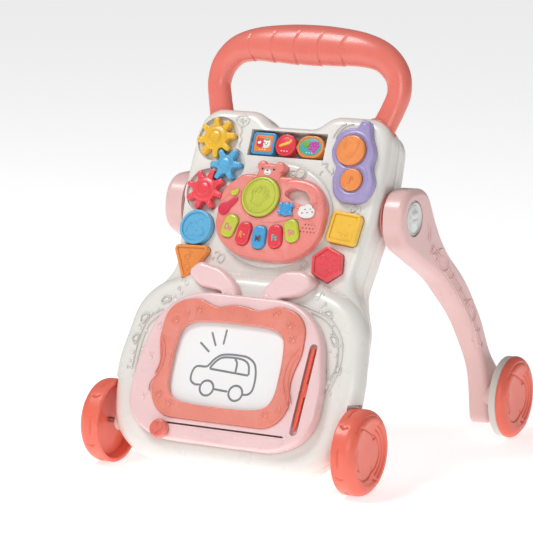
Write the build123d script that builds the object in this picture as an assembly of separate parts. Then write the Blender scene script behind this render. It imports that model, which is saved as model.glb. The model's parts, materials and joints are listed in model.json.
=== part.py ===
from build123d import *
import os
from math import atan2, cos, degrees, hypot, pi, radians, sin

os.makedirs("parts", exist_ok=True)

# Baby push walker, millimetres. World frame: +Z up, -Y the side with the toys, the child walks
# behind it on the +Y side, X = 0 is the plane of symmetry of the body. The front axle is at
# -Y, the rear legs reach to +Y, and the wheels stand on Z = 0.

# ---------------------------------------------------------------- driving dimensions
FRONT_WHEEL_R = 45.0
FRONT_WHEEL_T = 25.0
FRONT_WHEEL_IN = 140.5          # inner face of a front wheel, from the middle
REAR_WHEEL_R = 46.0
REAR_WHEEL_IN = 168.0           # inner face of the rear ring, from the middle
REAR_RING_T = 8.5
REAR_WHEEL_T = 10.5
WHEELBASE = 325.0
FRONT_AXLE_Y = -160.6
REAR_AXLE_Y = FRONT_AXLE_Y + WHEELBASE
AXLE_R = 3.0
RUNNING_GAP = 0.06              # radial clearance of a running fit
MOVE_GAP = 0.4                  # clearance around a moving piece

PANEL_LEAN = 24.0               # the front panel leans back from the vertical
PANEL_Y = FRONT_AXLE_Y + 120.0  # a point of the panel face in the symmetry plane
PANEL_Z = 341.0

DEPTH = 64.0                    # body, front panel to back
SEAM = -30.0                    # joint between front shell and rear cover
RIM_R = 12.0                    # rounding of the panel edge
RIM_ANGLES = (0, 18, 36, 54, 72, 84)
WALL = 2.8
BELLY_W = 14.0                  # the belly stands this far in front of the panel
BELLY_R = 16.5

HINGE_Y = FRONT_AXLE_Y + 131.5
HINGE_Z = 270.6
HINGE_R = 8.0
HUB_R = 31.5
LEG_IN = 122.4                  # inner face of a leg
LEG_T = 24.0
LEG_SPLAY = 1.7                 # degrees that a leg leans outward

HANDLE_W = -18.0                # mid plane of the handle feet behind the panel face
HANDLE_BEND = 18.0              # how far the top of the arch comes forward
TRAY_U, TRAY_V, TRAY_D = 93.0, 29.5, 22.0
ROD_W, ROD_R = -7.5, 2.5

# Panel frame: u to the right, v up along the panel, w straight out of it.
PANEL = Plane(
    origin=(0, PANEL_Y, PANEL_Z),
    x_dir=(1, 0, 0),
    z_dir=(0, -cos(radians(PANEL_LEAN)), sin(radians(PANEL_LEAN))),
)

# Body outline on the panel, right half from the top: (u, v, corner radius).
FRONT_OUTLINE = [
    (26, 22, 22), (46, 38, 30), (115, 38, 27), (122, -45, 400),
    (107.5, -146, 34), (140, -186, 60), (150, -268, 90), (131, -357, 62),
]
BACK_OUTLINE = [
    (26, 20, 22), (46, 35, 30), (111, 35, 27), (117, -45, 400),
    (103, -146, 34), (112, -186, 50), (116, -268, 90), (104, -347, 50),
]
BELLY_OUTLINE = [(66, -146, 60), (136, -171, 60), (150, -262, 110), (131, -356, 64)]


# ---------------------------------------------------------------- helpers
def mirrored(half):
    """Full clockwise outline from its right half."""
    return half + [(-u, v, r) for u, v, r in reversed(half)]


def inset(corners, d):
    """Move a clockwise outline inward by d, keeping its arcs concentric."""
    moved = []
    for i, (x, y, r) in enumerate(corners):
        xa, ya, _ = corners[i - 1]
        xb, yb, _ = corners[(i + 1) % len(corners)]
        la, lb = hypot(x - xa, y - ya), hypot(xb - x, yb - y)
        na = ((y - ya) / la, -(x - xa) / la)
        nb = ((yb - y) / lb, -(xb - x) / lb)
        convex = na[0] * nb[1] - na[1] * nb[0] < 0
        k = d / (1 + na[0] * nb[0] + na[1] * nb[1])
        moved.append((x + (na[0] + nb[0]) * k, y + (na[1] + nb[1]) * k, r - d if convex else r + d))
    return moved


def face_of(corners):
    """Flat face with a rounded corner at each (x, y, radius)."""
    path = FilletPolyline(*[(x, y) for x, y, _ in corners], radius=[r for *_, r in corners], close=True)
    return make_face(path)


def slab(face, low, high):
    """Face stood up between two heights."""
    return Pos(0, 0, low) * extrude(face, amount=high - low, dir=(0, 0, 1))


def soft_slab(face, low, high, radius, low_radius=0.0):
    """Slab with its top edges rounded, and its bottom edges too when asked."""
    solid = slab(face, low, high)
    solid = fillet(solid.edges().group_by(Axis.Z)[-1], radius)
    if low_radius:
        solid = fillet(solid.edges().group_by(Axis.Z)[0], low_radius)
    return solid


def disc(u, v, radius, low, high):
    """Round slab centred at (u, v)."""
    return Pos(u, v, (low + high) / 2) * Cylinder(radius, high - low)


def block(u, v, du, dv, low, high):
    """Square-cornered slab centred at (u, v)."""
    return Pos(u, v, (low + high) / 2) * Box(du, dv, high - low)


def rounded_rect(u, v, du, dv, radius, turn=0.0):
    """Rounded rectangle face, turned about its middle."""
    return Pos(u, v, 0) * Rot(0, 0, turn) * RectangleRounded(du, dv, radius)


def x_rod(y, z, radius, x0, x1):
    """Cylinder along X in the world frame."""
    return Pos((x0 + x1) / 2, y, z) * Rot(0, 90, 0) * Cylinder(radius, abs(x1 - x0))


def panel_point(y, z):
    """(v, w) on the panel frame of a world point in a YZ plane."""
    lean = radians(PANEL_LEAN)
    dy, dz = y - PANEL_Y, z - PANEL_Z
    return dy * sin(lean) + dz * cos(lean), -dy * cos(lean) + dz * sin(lean)


def save(name, shape):
    """Write one sub-part given in the world frame."""
    export_step(shape, f"parts/{name}.step")


def save_panel(name, shape):
    """Write one sub-part given in the panel frame."""
    save(name, PANEL.location * shape)


def mirror_x(shape):
    """The same piece on the other side."""
    return mirror(shape, about=Plane.YZ)


# ---------------------------------------------------------------- places on the panel
HINGE_V, HINGE_W = panel_point(HINGE_Y, HINGE_Z)
AXLE_V, AXLE_W = panel_point(FRONT_AXLE_Y, FRONT_WHEEL_R)

GEARS = {
    "yellow_gear": (-88.0, 1.4, 8, 23.0, 15.0),
    "blue_gear": (-69.0, -28.2, 6, 18.8, 11.2),
    "red_gear": (-88.0, -57.8, 8, 23.0, 15.0),
}
GEAR_FLOOR = -4.0
GEAR_POST_R = 4.0

CIRCLE_BLOCK = (-88.0, -101.0, 19.4)
TRIANGLE_BLOCK = [(-110.5, -122.0, 5), (-63.0, -120.5, 5), (-88.5, -164.5, 5)]
SQUARE_BLOCK = (89.5, -88.0, 34.5, -6.0)
HEXAGON_BLOCK = (78.0, -128.3, 19.6, 8.0)
BLOCK_FLOOR, BLOCK_TOP = -4.5, 7.5

PAD_OUTLINE = [
    (63, 22, 17), (82, 21.5, 5), (85, 32, 5), (95.5, 30.5, 5), (99, 15.5, 14), (109, -4, 20),
    (106.5, -19, 14), (114, -36, 16), (108.5, -60, 18), (70, -60, 18), (64, -34, 14), (67, -22, 14), (55, -8, 18),
]
PAD_TOP = 8.0
BIG_BUTTON = (81.2, -4.0, 16.7)
SMALL_BUTTON = (88.4, -36.0, 12.4)

DOCK_U, DOCK_V, DOCK_A, DOCK_B, DOCK_H = 2.0, -79.5, 69.0, 58.5, 4.0
PIANO_OUTLINE = [
    (-62, -108, 34), (-60.5, -56, 24), (-38, -38.6, 18), (20, -38.6, 9), (50, -43, 30),
    (68, -64, 34), (67, -110, 44), (36, -133, 44), (-28, -131, 60),
]
LOOP_HOLE = [(12, -57.5, 4), (24, -50.5, 8), (40, -53.5, 10), (52, -66, 5), (42, -70, 6), (24, -64.5, 9)]
PIANO_LOW, PIANO_TOP, PIANO_SKIN = 4.3, 15.0, 2.4
PIANO_BACK = (0.0, -93.0, 46.0, 30.0)
PIANO_BACK_LOW = -12.0
DRUM = (-10.8, -64.2, 22.4)
PAW_BUTTON = (22.0, -75.5, 7.6)
CLOUD = (47.0, -76.5)
SPEAKER = (52.5, -93.0)
KEYS = [
    (-41.0, -99.0, -14.0), (-22.3, -106.0, -7.0), (-2.8, -108.6, 4.0), (16.2, -106.2, 10.0), (34.4, -98.6, 20.0),
]
KEY_SIZE = (16.6, 26.0)

BOARD_LOW, BOARD_TOP = 14.3, 28.0
FRAME_OUTLINE = [
    (40, -175.5, 90), (94, -181, 62), (112, -262, 120), (112, -318, 44), (70, -337.5, 70),
]
BEZEL_OUTLINE = [
    (0, -185.6, 60), (25, -192, 20), (48, -184, 24), (84, -191, 28), (86, -232, 40),
    (78, -262, 56), (90, -314.5, 30),
]
SCREEN_OUTLINE = [(0, -206, 300), (62, -209, 24), (69, -254, 150), (62, -297, 22), (0, -299.5, 300)]
BOARD_SHIFT = -2.0
SLOT_V, SLOT_GAP = -320.4, 2.0
SLIDER_U, SLIDER_TRAVEL = -64.0, 136.0
KNOB_V, KNOB_R = -328.6, 10.0
PEN_TOP, PEN_END, PEN_R = (95.0, -224.0), (91.5, -313.0), 2.6


# ---------------------------------------------------------------- body shells
def body_section(w, edge=0.0):
    """Body outline at depth w, moved inward by edge."""
    t = max(0.0, min(1.0, -(w + 3) / (DEPTH - 3)))
    half = [tuple(a + (b - a) * t for a, b in zip(f, k)) for f, k in zip(FRONT_OUTLINE, BACK_OUTLINE)]
    return Pos(0, 0, w) * face_of(inset(mirrored(half), edge))


def body_loft(levels):
    """Smooth solid through body sections at (w, edge inset)."""
    return loft([body_section(w, edge) for w, edge in levels])


def belly(wall=0.0):
    """Raised round belly under the drawing board."""
    face = face_of(inset(mirrored(BELLY_OUTLINE), wall))
    return soft_slab(face, -3, BELLY_W - wall, BELLY_R - wall)


def front_outer():
    rim = [(-RIM_R * (1 - sin(radians(a))), RIM_R * (1 - cos(radians(a)))) for a in RIM_ANGLES]
    return body_loft([(SEAM, 0), (SEAM + 9, 0)] + rim) + belly()


def front_inner():
    r = RIM_R - WALL
    rim = [(-WALL - r * (1 - sin(radians(a))), WALL + r * (1 - cos(radians(a)))) for a in RIM_ANGLES]
    return body_loft([(SEAM - 0.5, WALL), (SEAM + 9, WALL)] + rim) + belly(WALL)


def wheel_space(radius, inner):
    """Cylinder around each front wheel, in the panel frame."""
    spaces = [Pos(side * (inner + 30), AXLE_V, AXLE_W) * Rot(0, 90, 0) * Cylinder(radius, 60) for side in (-1, 1)]
    return spaces[0] + spaces[1]


def cross_rod(v, w, radius, u0, u1):
    """Cylinder along u in the panel frame."""
    return Pos((u0 + u1) / 2, v, w) * Rot(0, 90, 0) * Cylinder(radius, abs(u1 - u0))


def block_faces(gap=0.0):
    """Outlines of the four shape blocks, grown by gap."""
    cu, cv, cr = CIRCLE_BLOCK
    su, sv, side, turn = SQUARE_BLOCK
    hu, hv, hr, hturn = HEXAGON_BLOCK
    hexagon = [
        (hu + hr * cos(radians(90 + hturn - 60 * k)), hv + hr * sin(radians(90 + hturn - 60 * k)), 3.0)
        for k in range(6)
    ]
    return {
        "circle_block": Pos(cu, cv, 0) * Circle(cr + gap),
        "triangle_block": face_of(inset(TRIANGLE_BLOCK, -gap)),
        "square_block": rounded_rect(su, sv, side + 2 * gap, side + 2 * gap, 5 + gap, turn),
        "hexagon_block": face_of(inset(hexagon, -gap)),
    }


def front_shell():
    outer = front_outer()
    shell = outer - front_inner()
    shell += soft_slab(Pos(DOCK_U, DOCK_V, 0) * Ellipse(DOCK_A, DOCK_B), -1, DOCK_H, 3.5)
    shell += block(-1.5, 0.2, TRAY_U + 5, TRAY_V + 5, -TRAY_D - 2.5, -1)
    for u, v, _, radius, _ in GEARS.values():
        shell += disc(u, v, radius + 4.5, GEAR_FLOOR - 3, -1)
    for face in block_faces(2.6).values():
        shell += slab(face, BLOCK_FLOOR - 2.5, -1)
    pu, pv, pa, pb = PIANO_BACK
    shell += slab(Pos(pu, pv, 0) * Ellipse(pa + 3.2, pb + 3.2), PIANO_BACK_LOW - 3, -1)
    shell += outer & wheel_space(FRONT_WHEEL_R + 6.2, FRONT_WHEEL_IN - 5)
    shell += hinge_boss() & block(0, 0, 400, 900, SEAM, 0)
    for side in (-1, 1):
        shell += cross_rod(AXLE_V, AXLE_W, 10, side * 60, side * (FRONT_WHEEL_IN - 0.5))

    shell -= block(-1.5, 0.2, TRAY_U, TRAY_V, -TRAY_D, 5)
    shell -= wheel_space(FRONT_WHEEL_R + 3.5, FRONT_WHEEL_IN - 2) - cross_rod(AXLE_V, AXLE_W, 10, -139.9, 139.9)
    for u, v, _, radius, _ in GEARS.values():
        shell -= disc(u, v, radius + 2.2, GEAR_FLOOR, 5)
        shell -= disc(u, v, GEAR_POST_R, GEAR_FLOOR - 8, 0)
    for face in block_faces(0.6).values():
        shell -= slab(face, BLOCK_FLOOR, 20)
    shell -= slab(Pos(pu, pv, 0) * Ellipse(pa + 1, pb + 1), PIANO_BACK_LOW - 0.5, 10)
    shell -= slab(face_of(inset(PAD_OUTLINE, -0.1)), -1.5, 5)
    shell -= cross_rod(AXLE_V, AXLE_W, AXLE_R, -160, 160)
    return shell - handle_body(0.15)


def hinge_boss():
    """Round bosses that carry the hinge pins, shared by both shells."""
    reach = LEG_IN - 4.1
    return cross_rod(HINGE_V, HINGE_W, 20, 96, reach) + cross_rod(HINGE_V, HINGE_W, 20, -reach, -96)


def rear_cover():
    back_r = 12.0
    back = [(-DEPTH + back_r * (1 - sin(radians(a))), back_r * (1 - cos(radians(a)))) for a in (84, 70, 50, 25, 0)]
    cover = body_loft(back + [(SEAM - 9, 0), (SEAM, 0)])
    r = back_r - WALL
    inner = [(-DEPTH + WALL + r * (1 - sin(radians(a))), WALL + r * (1 - cos(radians(a)))) for a in (84, 70, 50, 25, 0)]
    hollow = body_loft(inner + [(SEAM - 9, WALL), (SEAM + 0.5, WALL)])
    hollow -= wheel_space(FRONT_WHEEL_R + 6.5, FRONT_WHEEL_IN - 5)
    hollow -= block(*DOOR, -DEPTH, BATTERY_BOX_TOP + 2)
    for u, v in SCREW_PLACES:
        hollow -= disc(u, v, 5.5, -DEPTH, SEAM + 1)
    boss = hinge_boss() & block(0, 0, 400, 900, -DEPTH, SEAM)
    cover += boss
    cover -= hollow - boss
    cover -= block(DOOR[0], DOOR[1], DOOR[2] - 5, DOOR[3] - 5, -DEPTH - 1, BATTERY_BOX_TOP)
    cover -= slab(rounded_rect(DOOR[0], DOOR[1], DOOR[2] + 5, DOOR[3] + 5, 5), -DEPTH - 1, -DEPTH + 1.8)
    for u, v in SCREW_PLACES:
        cover -= disc(u, v, 1.5, -DEPTH - 1, SEAM + 1)
        cover -= disc(u, v, 3.4, -DEPTH - 1, SCREW_SEAT)
    for u, v in GRILLE_HOLES:
        cover -= disc(u, v, 1.6, -DEPTH - 1, -DEPTH + WALL + 1)
    cover -= wheel_space(FRONT_WHEEL_R + 3.5, FRONT_WHEEL_IN - 2)
    for side in (-1, 1):
        cover -= cross_rod(HINGE_V, HINGE_W, HINGE_R, side * 80, side * 130)
    return cover


DOOR = (0.0, -205.0, 62.0, 40.0)
BATTERY_BOX_TOP = -44.0
SCREW_SEAT = -44.0
SCREW_PLACES = [(-80, 8), (80, 8), (-84, -130), (84, -130), (-70, -318), (70, -318)]
GRILLE_HOLES = [
    (7 * i * cos(radians(60 * k + 30 * (i % 2))), -60 + 7 * i * sin(radians(60 * k + 30 * (i % 2))))
    for i in range(1, 4) for k in range(6)
] + [(0, -60)]


def battery_door():
    door = slab(rounded_rect(DOOR[0], DOOR[1], DOOR[2] + 4.4, DOOR[3] + 4.4, 4.7), -DEPTH + 0.1, -DEPTH + 1.8)
    grip = [block(DOOR[0] + 4 * k, DOOR[1] + 14, 1.6, 8, -DEPTH, -DEPTH + 0.9) for k in range(-3, 4)]
    for groove in grip:
        door -= groove
    return door


def pad_cells():
    """Two AAA cells for the sound pad."""
    v0 = DOOR[1]
    cells = [cross_rod(v0 + side * 6, -55, 5.1, -22, 21.5) for side in (-1, 1)]
    tips = [cross_rod(v0 + side * 6, -55, 1.9, 21.5, 22.5) for side in (-1, 1)]
    return [cell + tip for cell, tip in zip(cells, tips)]


def screws():
    """Cover screws: one solid each."""
    return [disc(u, v, 3.2, SCREW_SEAT - 2.2, SCREW_SEAT) + disc(u, v, 1.45, SCREW_SEAT, SEAM) for u, v in SCREW_PLACES]


# ---------------------------------------------------------------- handle
def handle_stations():
    """(u, v, w, half height in the handle plane, half depth), left end to right end."""
    half = [
        (0, 121.6, 22.6, 14.0), (30, 121.4, 21.6, 14.0), (64, 119.3, 18.8, 13.6), (89.5, 111.0, 16.2, 13.2),
        (105.8, 93.0, 14.4, 12.8), (110.6, 71.5, 13.0, 12.2), (106.2, 52.0, 13.2, 11.0), (100.2, 34.0, 13.8, 9.8),
        (95.8, 16.0, 13.8, 9.6),
    ]
    bent = []
    for u, v, a, b in half:
        ahead = HANDLE_BEND * max(0.0, (v - 34) / 85.5) ** 2.2
        bent.append((u, v - ahead * sin(radians(PANEL_LEAN)), HANDLE_W + ahead * cos(radians(PANEL_LEAN)), a, b))
    return [(-u, *rest) for u, *rest in reversed(bent[1:])] + bent


def handle_body(grow=0.0):
    stations = handle_stations()
    path = Spline(*[(u, v, w) for u, v, w, _, _ in stations])
    sections = []
    for u, v, w, a, b in stations:
        along = path % path.param_at_point((u, v, w))
        across = Vector(0, 0, 1) - along * along.Z
        here = Plane(origin=(u, v, w), x_dir=across, z_dir=along)
        sections.append(here * Ellipse(b + grow, a + grow))
    return loft(sections)


# ---------------------------------------------------------------- gears and their posts
def gear(name):
    """Chunky spur gear with round-ended teeth and a domed middle."""
    u, v, teeth, outer, root = GEARS[name]
    low, high = GEAR_FLOOR + 0.5, 6.0
    wheel = disc(u, v, root, low, high)
    for k in range(teeth):
        tooth = face_of([(root - 3, 3.9, 0.5), (outer, 2.9, 2.4), (outer, -2.9, 2.4), (root - 3, -3.9, 0.5)])
        wheel += Pos(u, v, 0) * Rot(0, 0, GEAR_TURNS[name] + 360 / teeth * k) * slab(tooth, low, high)
    wheel += soft_slab(Pos(u, v, 0) * Circle(9.8), low, high + 3.2, 2.6)
    return wheel - disc(u, v, GEAR_POST_R + RUNNING_GAP, low - 1, high + 2)


def meshed_turn(driver, follower, driver_turn):
    """Turn of the follower that puts a gap where the driver has a tooth."""
    ua, va, na, *_ = GEARS[driver]
    ub, vb, nb, *_ = GEARS[follower]
    line = degrees(atan2(vb - va, ub - ua))
    ahead = (driver_turn - line) * na / 360
    return line + 180 - ahead * 360 / nb + 180 / nb


YELLOW_TURN = -34.8
BLUE_TURN = meshed_turn("yellow_gear", "blue_gear", YELLOW_TURN)
GEAR_TURNS = {
    "yellow_gear": YELLOW_TURN,
    "blue_gear": BLUE_TURN,
    "red_gear": meshed_turn("blue_gear", "red_gear", BLUE_TURN),
}


def gear_posts():
    posts = []
    for u, v, *_ in GEARS.values():
        posts.append(disc(u, v, GEAR_POST_R, GEAR_FLOOR - 3, 7.4) + disc(u, v, 7, GEAR_FLOOR - 5.5, GEAR_FLOOR - 3))
    return posts


# ---------------------------------------------------------------- flip blocks
def flip_block(face):
    """Picture block that turns on the rod, with a shallow picture field on both faces."""
    half = 5.5
    solid = slab(face, ROD_W - half, ROD_W + half)
    solid = fillet(solid.edges().group_by(Axis.Z)[-1] + solid.edges().group_by(Axis.Z)[0], 1.2)
    field = offset(face, amount=-2.6)
    solid -= slab(field, ROD_W + half - 0.5, ROD_W + half + 1)
    solid -= slab(field, ROD_W - half - 1, ROD_W - half + 0.5)
    return solid - cross_rod(0.2, ROD_W, ROD_R + RUNNING_GAP, -60, 60)


FLIP_FACES = {
    "square_flip_block": rounded_rect(-32.0, 0.2, 27.5, 25.0, 4),
    "round_flip_block": Pos(-5.0, 0.2, 0) * Circle(12.4),
    "oval_flip_block": rounded_rect(25.5, 0.2, 32.0, 25.0, 12.3),
}


# ---------------------------------------------------------------- shape blocks
def shape_block(face):
    """Block with a raised rim round a flat picture field."""
    solid = soft_slab(face, BLOCK_FLOOR + 0.3, BLOCK_TOP, 1.6)
    return solid - slab(offset(face, amount=-3.4), BLOCK_TOP - 1.2, BLOCK_TOP + 1)


# ---------------------------------------------------------------- sound pad
def button(u, v, radius, seat, top, edge=1.8):
    """Round push button with a retaining flange under its seat."""
    cap = soft_slab(Pos(u, v, 0) * Circle(radius), seat - 2.5, top, edge)
    return cap + disc(u, v, radius + 1.2, seat - 4, seat - 2.5)


def sound_pad():
    pad = soft_slab(face_of(PAD_OUTLINE), -1.4, PAD_TOP, 2.4)
    pad -= slab(face_of(inset(PAD_OUTLINE, 2.5)), -2, PAD_TOP - 2.4)
    for u, v, r in (BIG_BUTTON, SMALL_BUTTON):
        pad -= disc(u, v, r + MOVE_GAP, 0, PAD_TOP + 1)
    return pad


def sound_pad_board():
    board = slab(face_of(inset(PAD_OUTLINE, 4.5)), -1.2, 0.2)
    for u, v, _ in (BIG_BUTTON, SMALL_BUTTON):
        board += disc(u, v, 3, 0.2, 0.8)
    return board


# ---------------------------------------------------------------- piano
def bear_head():
    head = Pos(-7, -38.5, 0) * Ellipse(14.5, 12.5)
    for du in (-10.5, 10.5):
        head += Pos(-7 + du, -29.5, 0) * Circle(6.2)
    return head


def key_face(key, gap=0.0):
    u, v, turn = key
    return rounded_rect(u, v, KEY_SIZE[0] + 2 * gap, KEY_SIZE[1] + 2 * gap, 7.4 + gap, turn)


def piano_body():
    outline = face_of(PIANO_OUTLINE)
    solid = soft_slab(outline, PIANO_LOW, PIANO_TOP, 4)
    solid += soft_slab(bear_head(), PIANO_LOW, PIANO_TOP + 1.5, 3)
    pu, pv, pa, pb = PIANO_BACK
    hollow = slab(Pos(pu, pv, 0) * Ellipse(pa - 2, pb - 2), PIANO_LOW - 1, PIANO_TOP - PIANO_SKIN)
    hollow += disc(DRUM[0], DRUM[1], DRUM[2] + 1.8, PIANO_LOW - 1, PIANO_TOP - PIANO_SKIN)
    hollow += disc(PAW_BUTTON[0], PAW_BUTTON[1], PAW_BUTTON[2] + 2.5, PIANO_LOW - 1, PIANO_TOP - PIANO_SKIN)
    hollow += disc(*SPEAKER, 8.3, PIANO_LOW - 1, PIANO_TOP - PIANO_SKIN)
    solid -= hollow & slab(face_of(inset(PIANO_OUTLINE, 1.2)), 0, 30)
    solid -= slab(face_of(LOOP_HOLE), 0, 30)
    solid -= disc(*DRUM[:2], DRUM[2] + MOVE_GAP, 10, 30)
    solid -= disc(*PAW_BUTTON[:2], PAW_BUTTON[2] + MOVE_GAP, 10, 30)
    for key in KEYS:
        solid -= slab(key_face(key, MOVE_GAP), PIANO_LOW + 3, 30)
    for i in range(3):
        for k in range(3 + i):
            solid -= disc(SPEAKER[0] - 4 + 4 * k - 2 * i, SPEAKER[1] + 3 - 4 * i, 0.9, PIANO_TOP - 1.6, PIANO_TOP + 1)
    return solid


def piano_back():
    pu, pv, pa, pb = PIANO_BACK
    tub = slab(Pos(pu, pv, 0) * Ellipse(pa, pb), PIANO_BACK_LOW, PIANO_LOW - 0.1)
    return tub - slab(Pos(pu, pv, 0) * Ellipse(pa - 2, pb - 2), PIANO_BACK_LOW + 2, 10)


def piano_cells():
    """Three AA cells side by side in the piano's tub."""
    cells = []
    for k in (-1, 0, 1):
        v = PIANO_BACK[1] + 14.8 * k
        cells.append(cross_rod(v, -2.6, 7.15, -25.5, 23.5) + cross_rod(v, -2.6, 2.7, 23.5, 24.8))
    return cells


def piano_board():
    pu, pv, pa, pb = PIANO_BACK
    return slab(Pos(pu, pv, 0) * Ellipse(pa - 3, pb - 3), 4.9, 6.4)


def piano_key(key):
    cap = soft_slab(key_face(key), PIANO_LOW + 3.2 + KEY_DROP, PIANO_TOP + 3.2, 2.6)
    return cap


KEY_DROP = 2.2


def drum_button():
    u, v, r = DRUM
    cap = soft_slab(Pos(u, v, 0) * Circle(r), PIANO_TOP - 4.6, PIANO_TOP + 4.0, 2.4)
    cap -= disc(u, v, r - 3, PIANO_TOP + 3.2, PIANO_TOP + 5)
    return cap + disc(u, v, r + 1, PIANO_TOP - 5.8, PIANO_TOP - 4.6)


def paw_button():
    u, v, r = PAW_BUTTON
    cap = soft_slab(Pos(u, v, 0) * Circle(r), PIANO_TOP - 4.6, PIANO_TOP + 2.6, 1.6)
    return cap + disc(u, v, r + 1.6, PIANO_TOP - 5.8, PIANO_TOP - 4.6)


def cloud_trim():
    cloud = Pos(CLOUD[0], CLOUD[1] - 1.5, 0) * Ellipse(9.6, 5.6)
    for du, dv, r in ((-4.5, 1.5, 4.6), (1.5, 3.2, 5.2), (5.8, 0.6, 4.0)):
        cloud += Pos(CLOUD[0] + du, CLOUD[1] + dv, 0) * Circle(r)
    return slab(cloud, PIANO_TOP, PIANO_TOP + 1.8)


def speaker():
    """Small speaker under the piano's corner holes."""
    return disc(*SPEAKER, 7.6, PIANO_LOW + 0.6, PIANO_LOW + 3.8) + disc(*SPEAKER, 5, PIANO_LOW + 3.8, PIANO_LOW + 6)


# ---------------------------------------------------------------- drawing board
def shifted(corners, du):
    return [(u + du, v, r) for u, v, r in corners]


def bezel_face(edge=0.0):
    return face_of(inset(shifted(symmetric(BEZEL_OUTLINE), BOARD_SHIFT), edge))


def screen_face(edge=0.0):
    return face_of(inset(shifted(symmetric(SCREEN_OUTLINE), BOARD_SHIFT), edge))


def symmetric(half):
    """Full clockwise outline from a right half whose first and last corners may be on the middle."""
    return half + [(-u, v, r) for u, v, r in reversed(half) if u > 0]


def ear_faces():
    left = [
        (-76, -155, 7), (-63, -142, 9), (-34, -148, 34), (-14, -163, 26), (-5, -186, 5), (-22, -188, 5),
        (-30, -172.5, 10), (-58, -168.5, 14),
    ]
    right = [
        (18, -186, 5), (21, -164, 14), (38, -144, 26), (62, -142.5, 9), (81, -151, 9), (62, -168.5, 20),
        (40, -175, 14), (34, -188, 5),
    ]
    return face_of(left), face_of(right)


def board_frame():
    outline = mirrored(FRAME_OUTLINE)
    frame = soft_slab(face_of(outline), BOARD_LOW, BOARD_TOP, 4)
    frame -= slab(face_of(inset(outline, 3)), BOARD_LOW - 1, BOARD_TOP - 3)
    lift_clear = belly(-0.3) + slab(Rectangle(400, 900), -10, 0.3)
    for face in ear_faces():
        ear = soft_slab(face, 0, BOARD_TOP - 1.5, 5) - lift_clear
        frame += ear - slab(face_of(inset(outline, 1)), -1, 40)
    frame -= slab(bezel_face(-0.25), BOARD_TOP - 1.8, 40)
    frame -= slab(bezel_face(6), 0, 40)
    frame -= slab(SlotOverall(SLIDER_TRAVEL + 18, SLOT_GAP).moved(Location((4, SLOT_V, 0))), 0, 40)
    pocket = pen_line(PEN_R + 1.9, BOARD_TOP - 5.2, BOARD_TOP + 2)
    frame += pen_line(PEN_R + 3.6, BOARD_TOP - 7.2, BOARD_TOP - 2.5)
    return frame - pocket


def pen_line(half, low, high):
    """Slab along the pen's resting place."""
    du, dv = PEN_END[0] - PEN_TOP[0], PEN_END[1] - PEN_TOP[1]
    length = hypot(du, dv)
    middle = ((PEN_TOP[0] + PEN_END[0]) / 2, (PEN_TOP[1] + PEN_END[1]) / 2)
    turn = Axis((0, 0, 0), (du, dv, 0)).direction.get_signed_angle(Vector(0, -1, 0), Vector(0, 0, -1))
    face = Pos(middle[0], middle[1], 0) * Rot(0, 0, turn) * RectangleRounded(2 * half, length + 2 * half, half * 0.98)
    return slab(face, low, high)


def board_bezel():
    ring = soft_slab(bezel_face(), BOARD_TOP - 1.7, BOARD_TOP + 2.4, 1.4)
    ring += slab(bezel_face(6.3), BOARD_TOP - 2.9, BOARD_TOP - 1.7)
    return ring - slab(screen_face(), 0, 60)


def drawing_screen():
    return slab(bezel_face(2), BOARD_TOP - 5.6, BOARD_TOP - 3.1)


def board_back():
    return slab(face_of(inset(mirrored(FRAME_OUTLINE), 3.2)), BOARD_LOW, BOARD_LOW + 2.2)


def slider_knob():
    knob = soft_slab(Pos(SLIDER_U, KNOB_V, 0) * Circle(KNOB_R), BOARD_TOP + 0.3, BOARD_TOP + 8, 2.6)
    web = block(SLIDER_U, SLOT_V, 11, SLOT_GAP - 0.7, BOARD_TOP - 6.0, BOARD_TOP + 3)
    return knob + web


def eraser_magnet():
    return block(SLIDER_U, -262, 5, 118.0, BOARD_TOP - 9.6, BOARD_TOP - 6.0)


def pen():
    """Drawing pen lying in its slot."""
    du, dv = PEN_END[0] - PEN_TOP[0], PEN_END[1] - PEN_TOP[1]
    length = hypot(du, dv)
    axis = Plane(origin=(PEN_TOP[0], PEN_TOP[1], BOARD_TOP - 1.8), x_dir=(0, 0, 1), z_dir=(du, dv, 0))
    outline = [(0, 0), (PEN_R * 0.9, 0), (PEN_R, 2), (PEN_R, length * 0.86), (PEN_R * 0.45, length), (0, length)]
    return axis.location * revolve(Plane.XZ * make_face(Polyline(*outline, close=True)), Axis.Z)


# ---------------------------------------------------------------- wheels and axles
def turned(profile, x_in, y, z):
    """Solid of revolution about an X axle; profile is (distance along +X from x_in, radius)."""
    face = make_face(Polyline(*profile, close=True))
    solid = revolve(face, Axis.X)
    return Pos(x_in, y, z) * solid


def round_rim(x0, x1, r_rim, r_face):
    """Points of a soft shoulder from the rim to the outer face."""
    steps = 8
    return [
        (x0 + (x1 - x0) * sin(pi / 2 * k / steps), r_face + (r_rim - r_face) * cos(pi / 2 * k / steps))
        for k in range(steps + 1)
    ]


def front_wheel():
    r, t = FRONT_WHEEL_R, FRONT_WHEEL_T
    bore = AXLE_R + RUNNING_GAP
    profile = [(0, bore), (0, 9), (12, 9), (12, r - 6), (1.5, r - 5), (0, r - 3.5), (0, r - 1.2), (1.2, r)]
    profile += round_rim(t - 11, t, r, r - 10)
    profile += [(t - 0.2, 30), (t - 2.2, 29), (t - 2.2, 26), (t - 3.8, 25), (t - 3.8, 21.5), (t - 2.4, 20.5)]
    profile += [(t - 2.4, 9), (t - 1.4, 7.5), (t - 1.4, 0), (11.5, 0), (11.5, bore)]
    return turned(profile, FRONT_WHEEL_IN, FRONT_AXLE_Y, FRONT_WHEEL_R)


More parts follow.
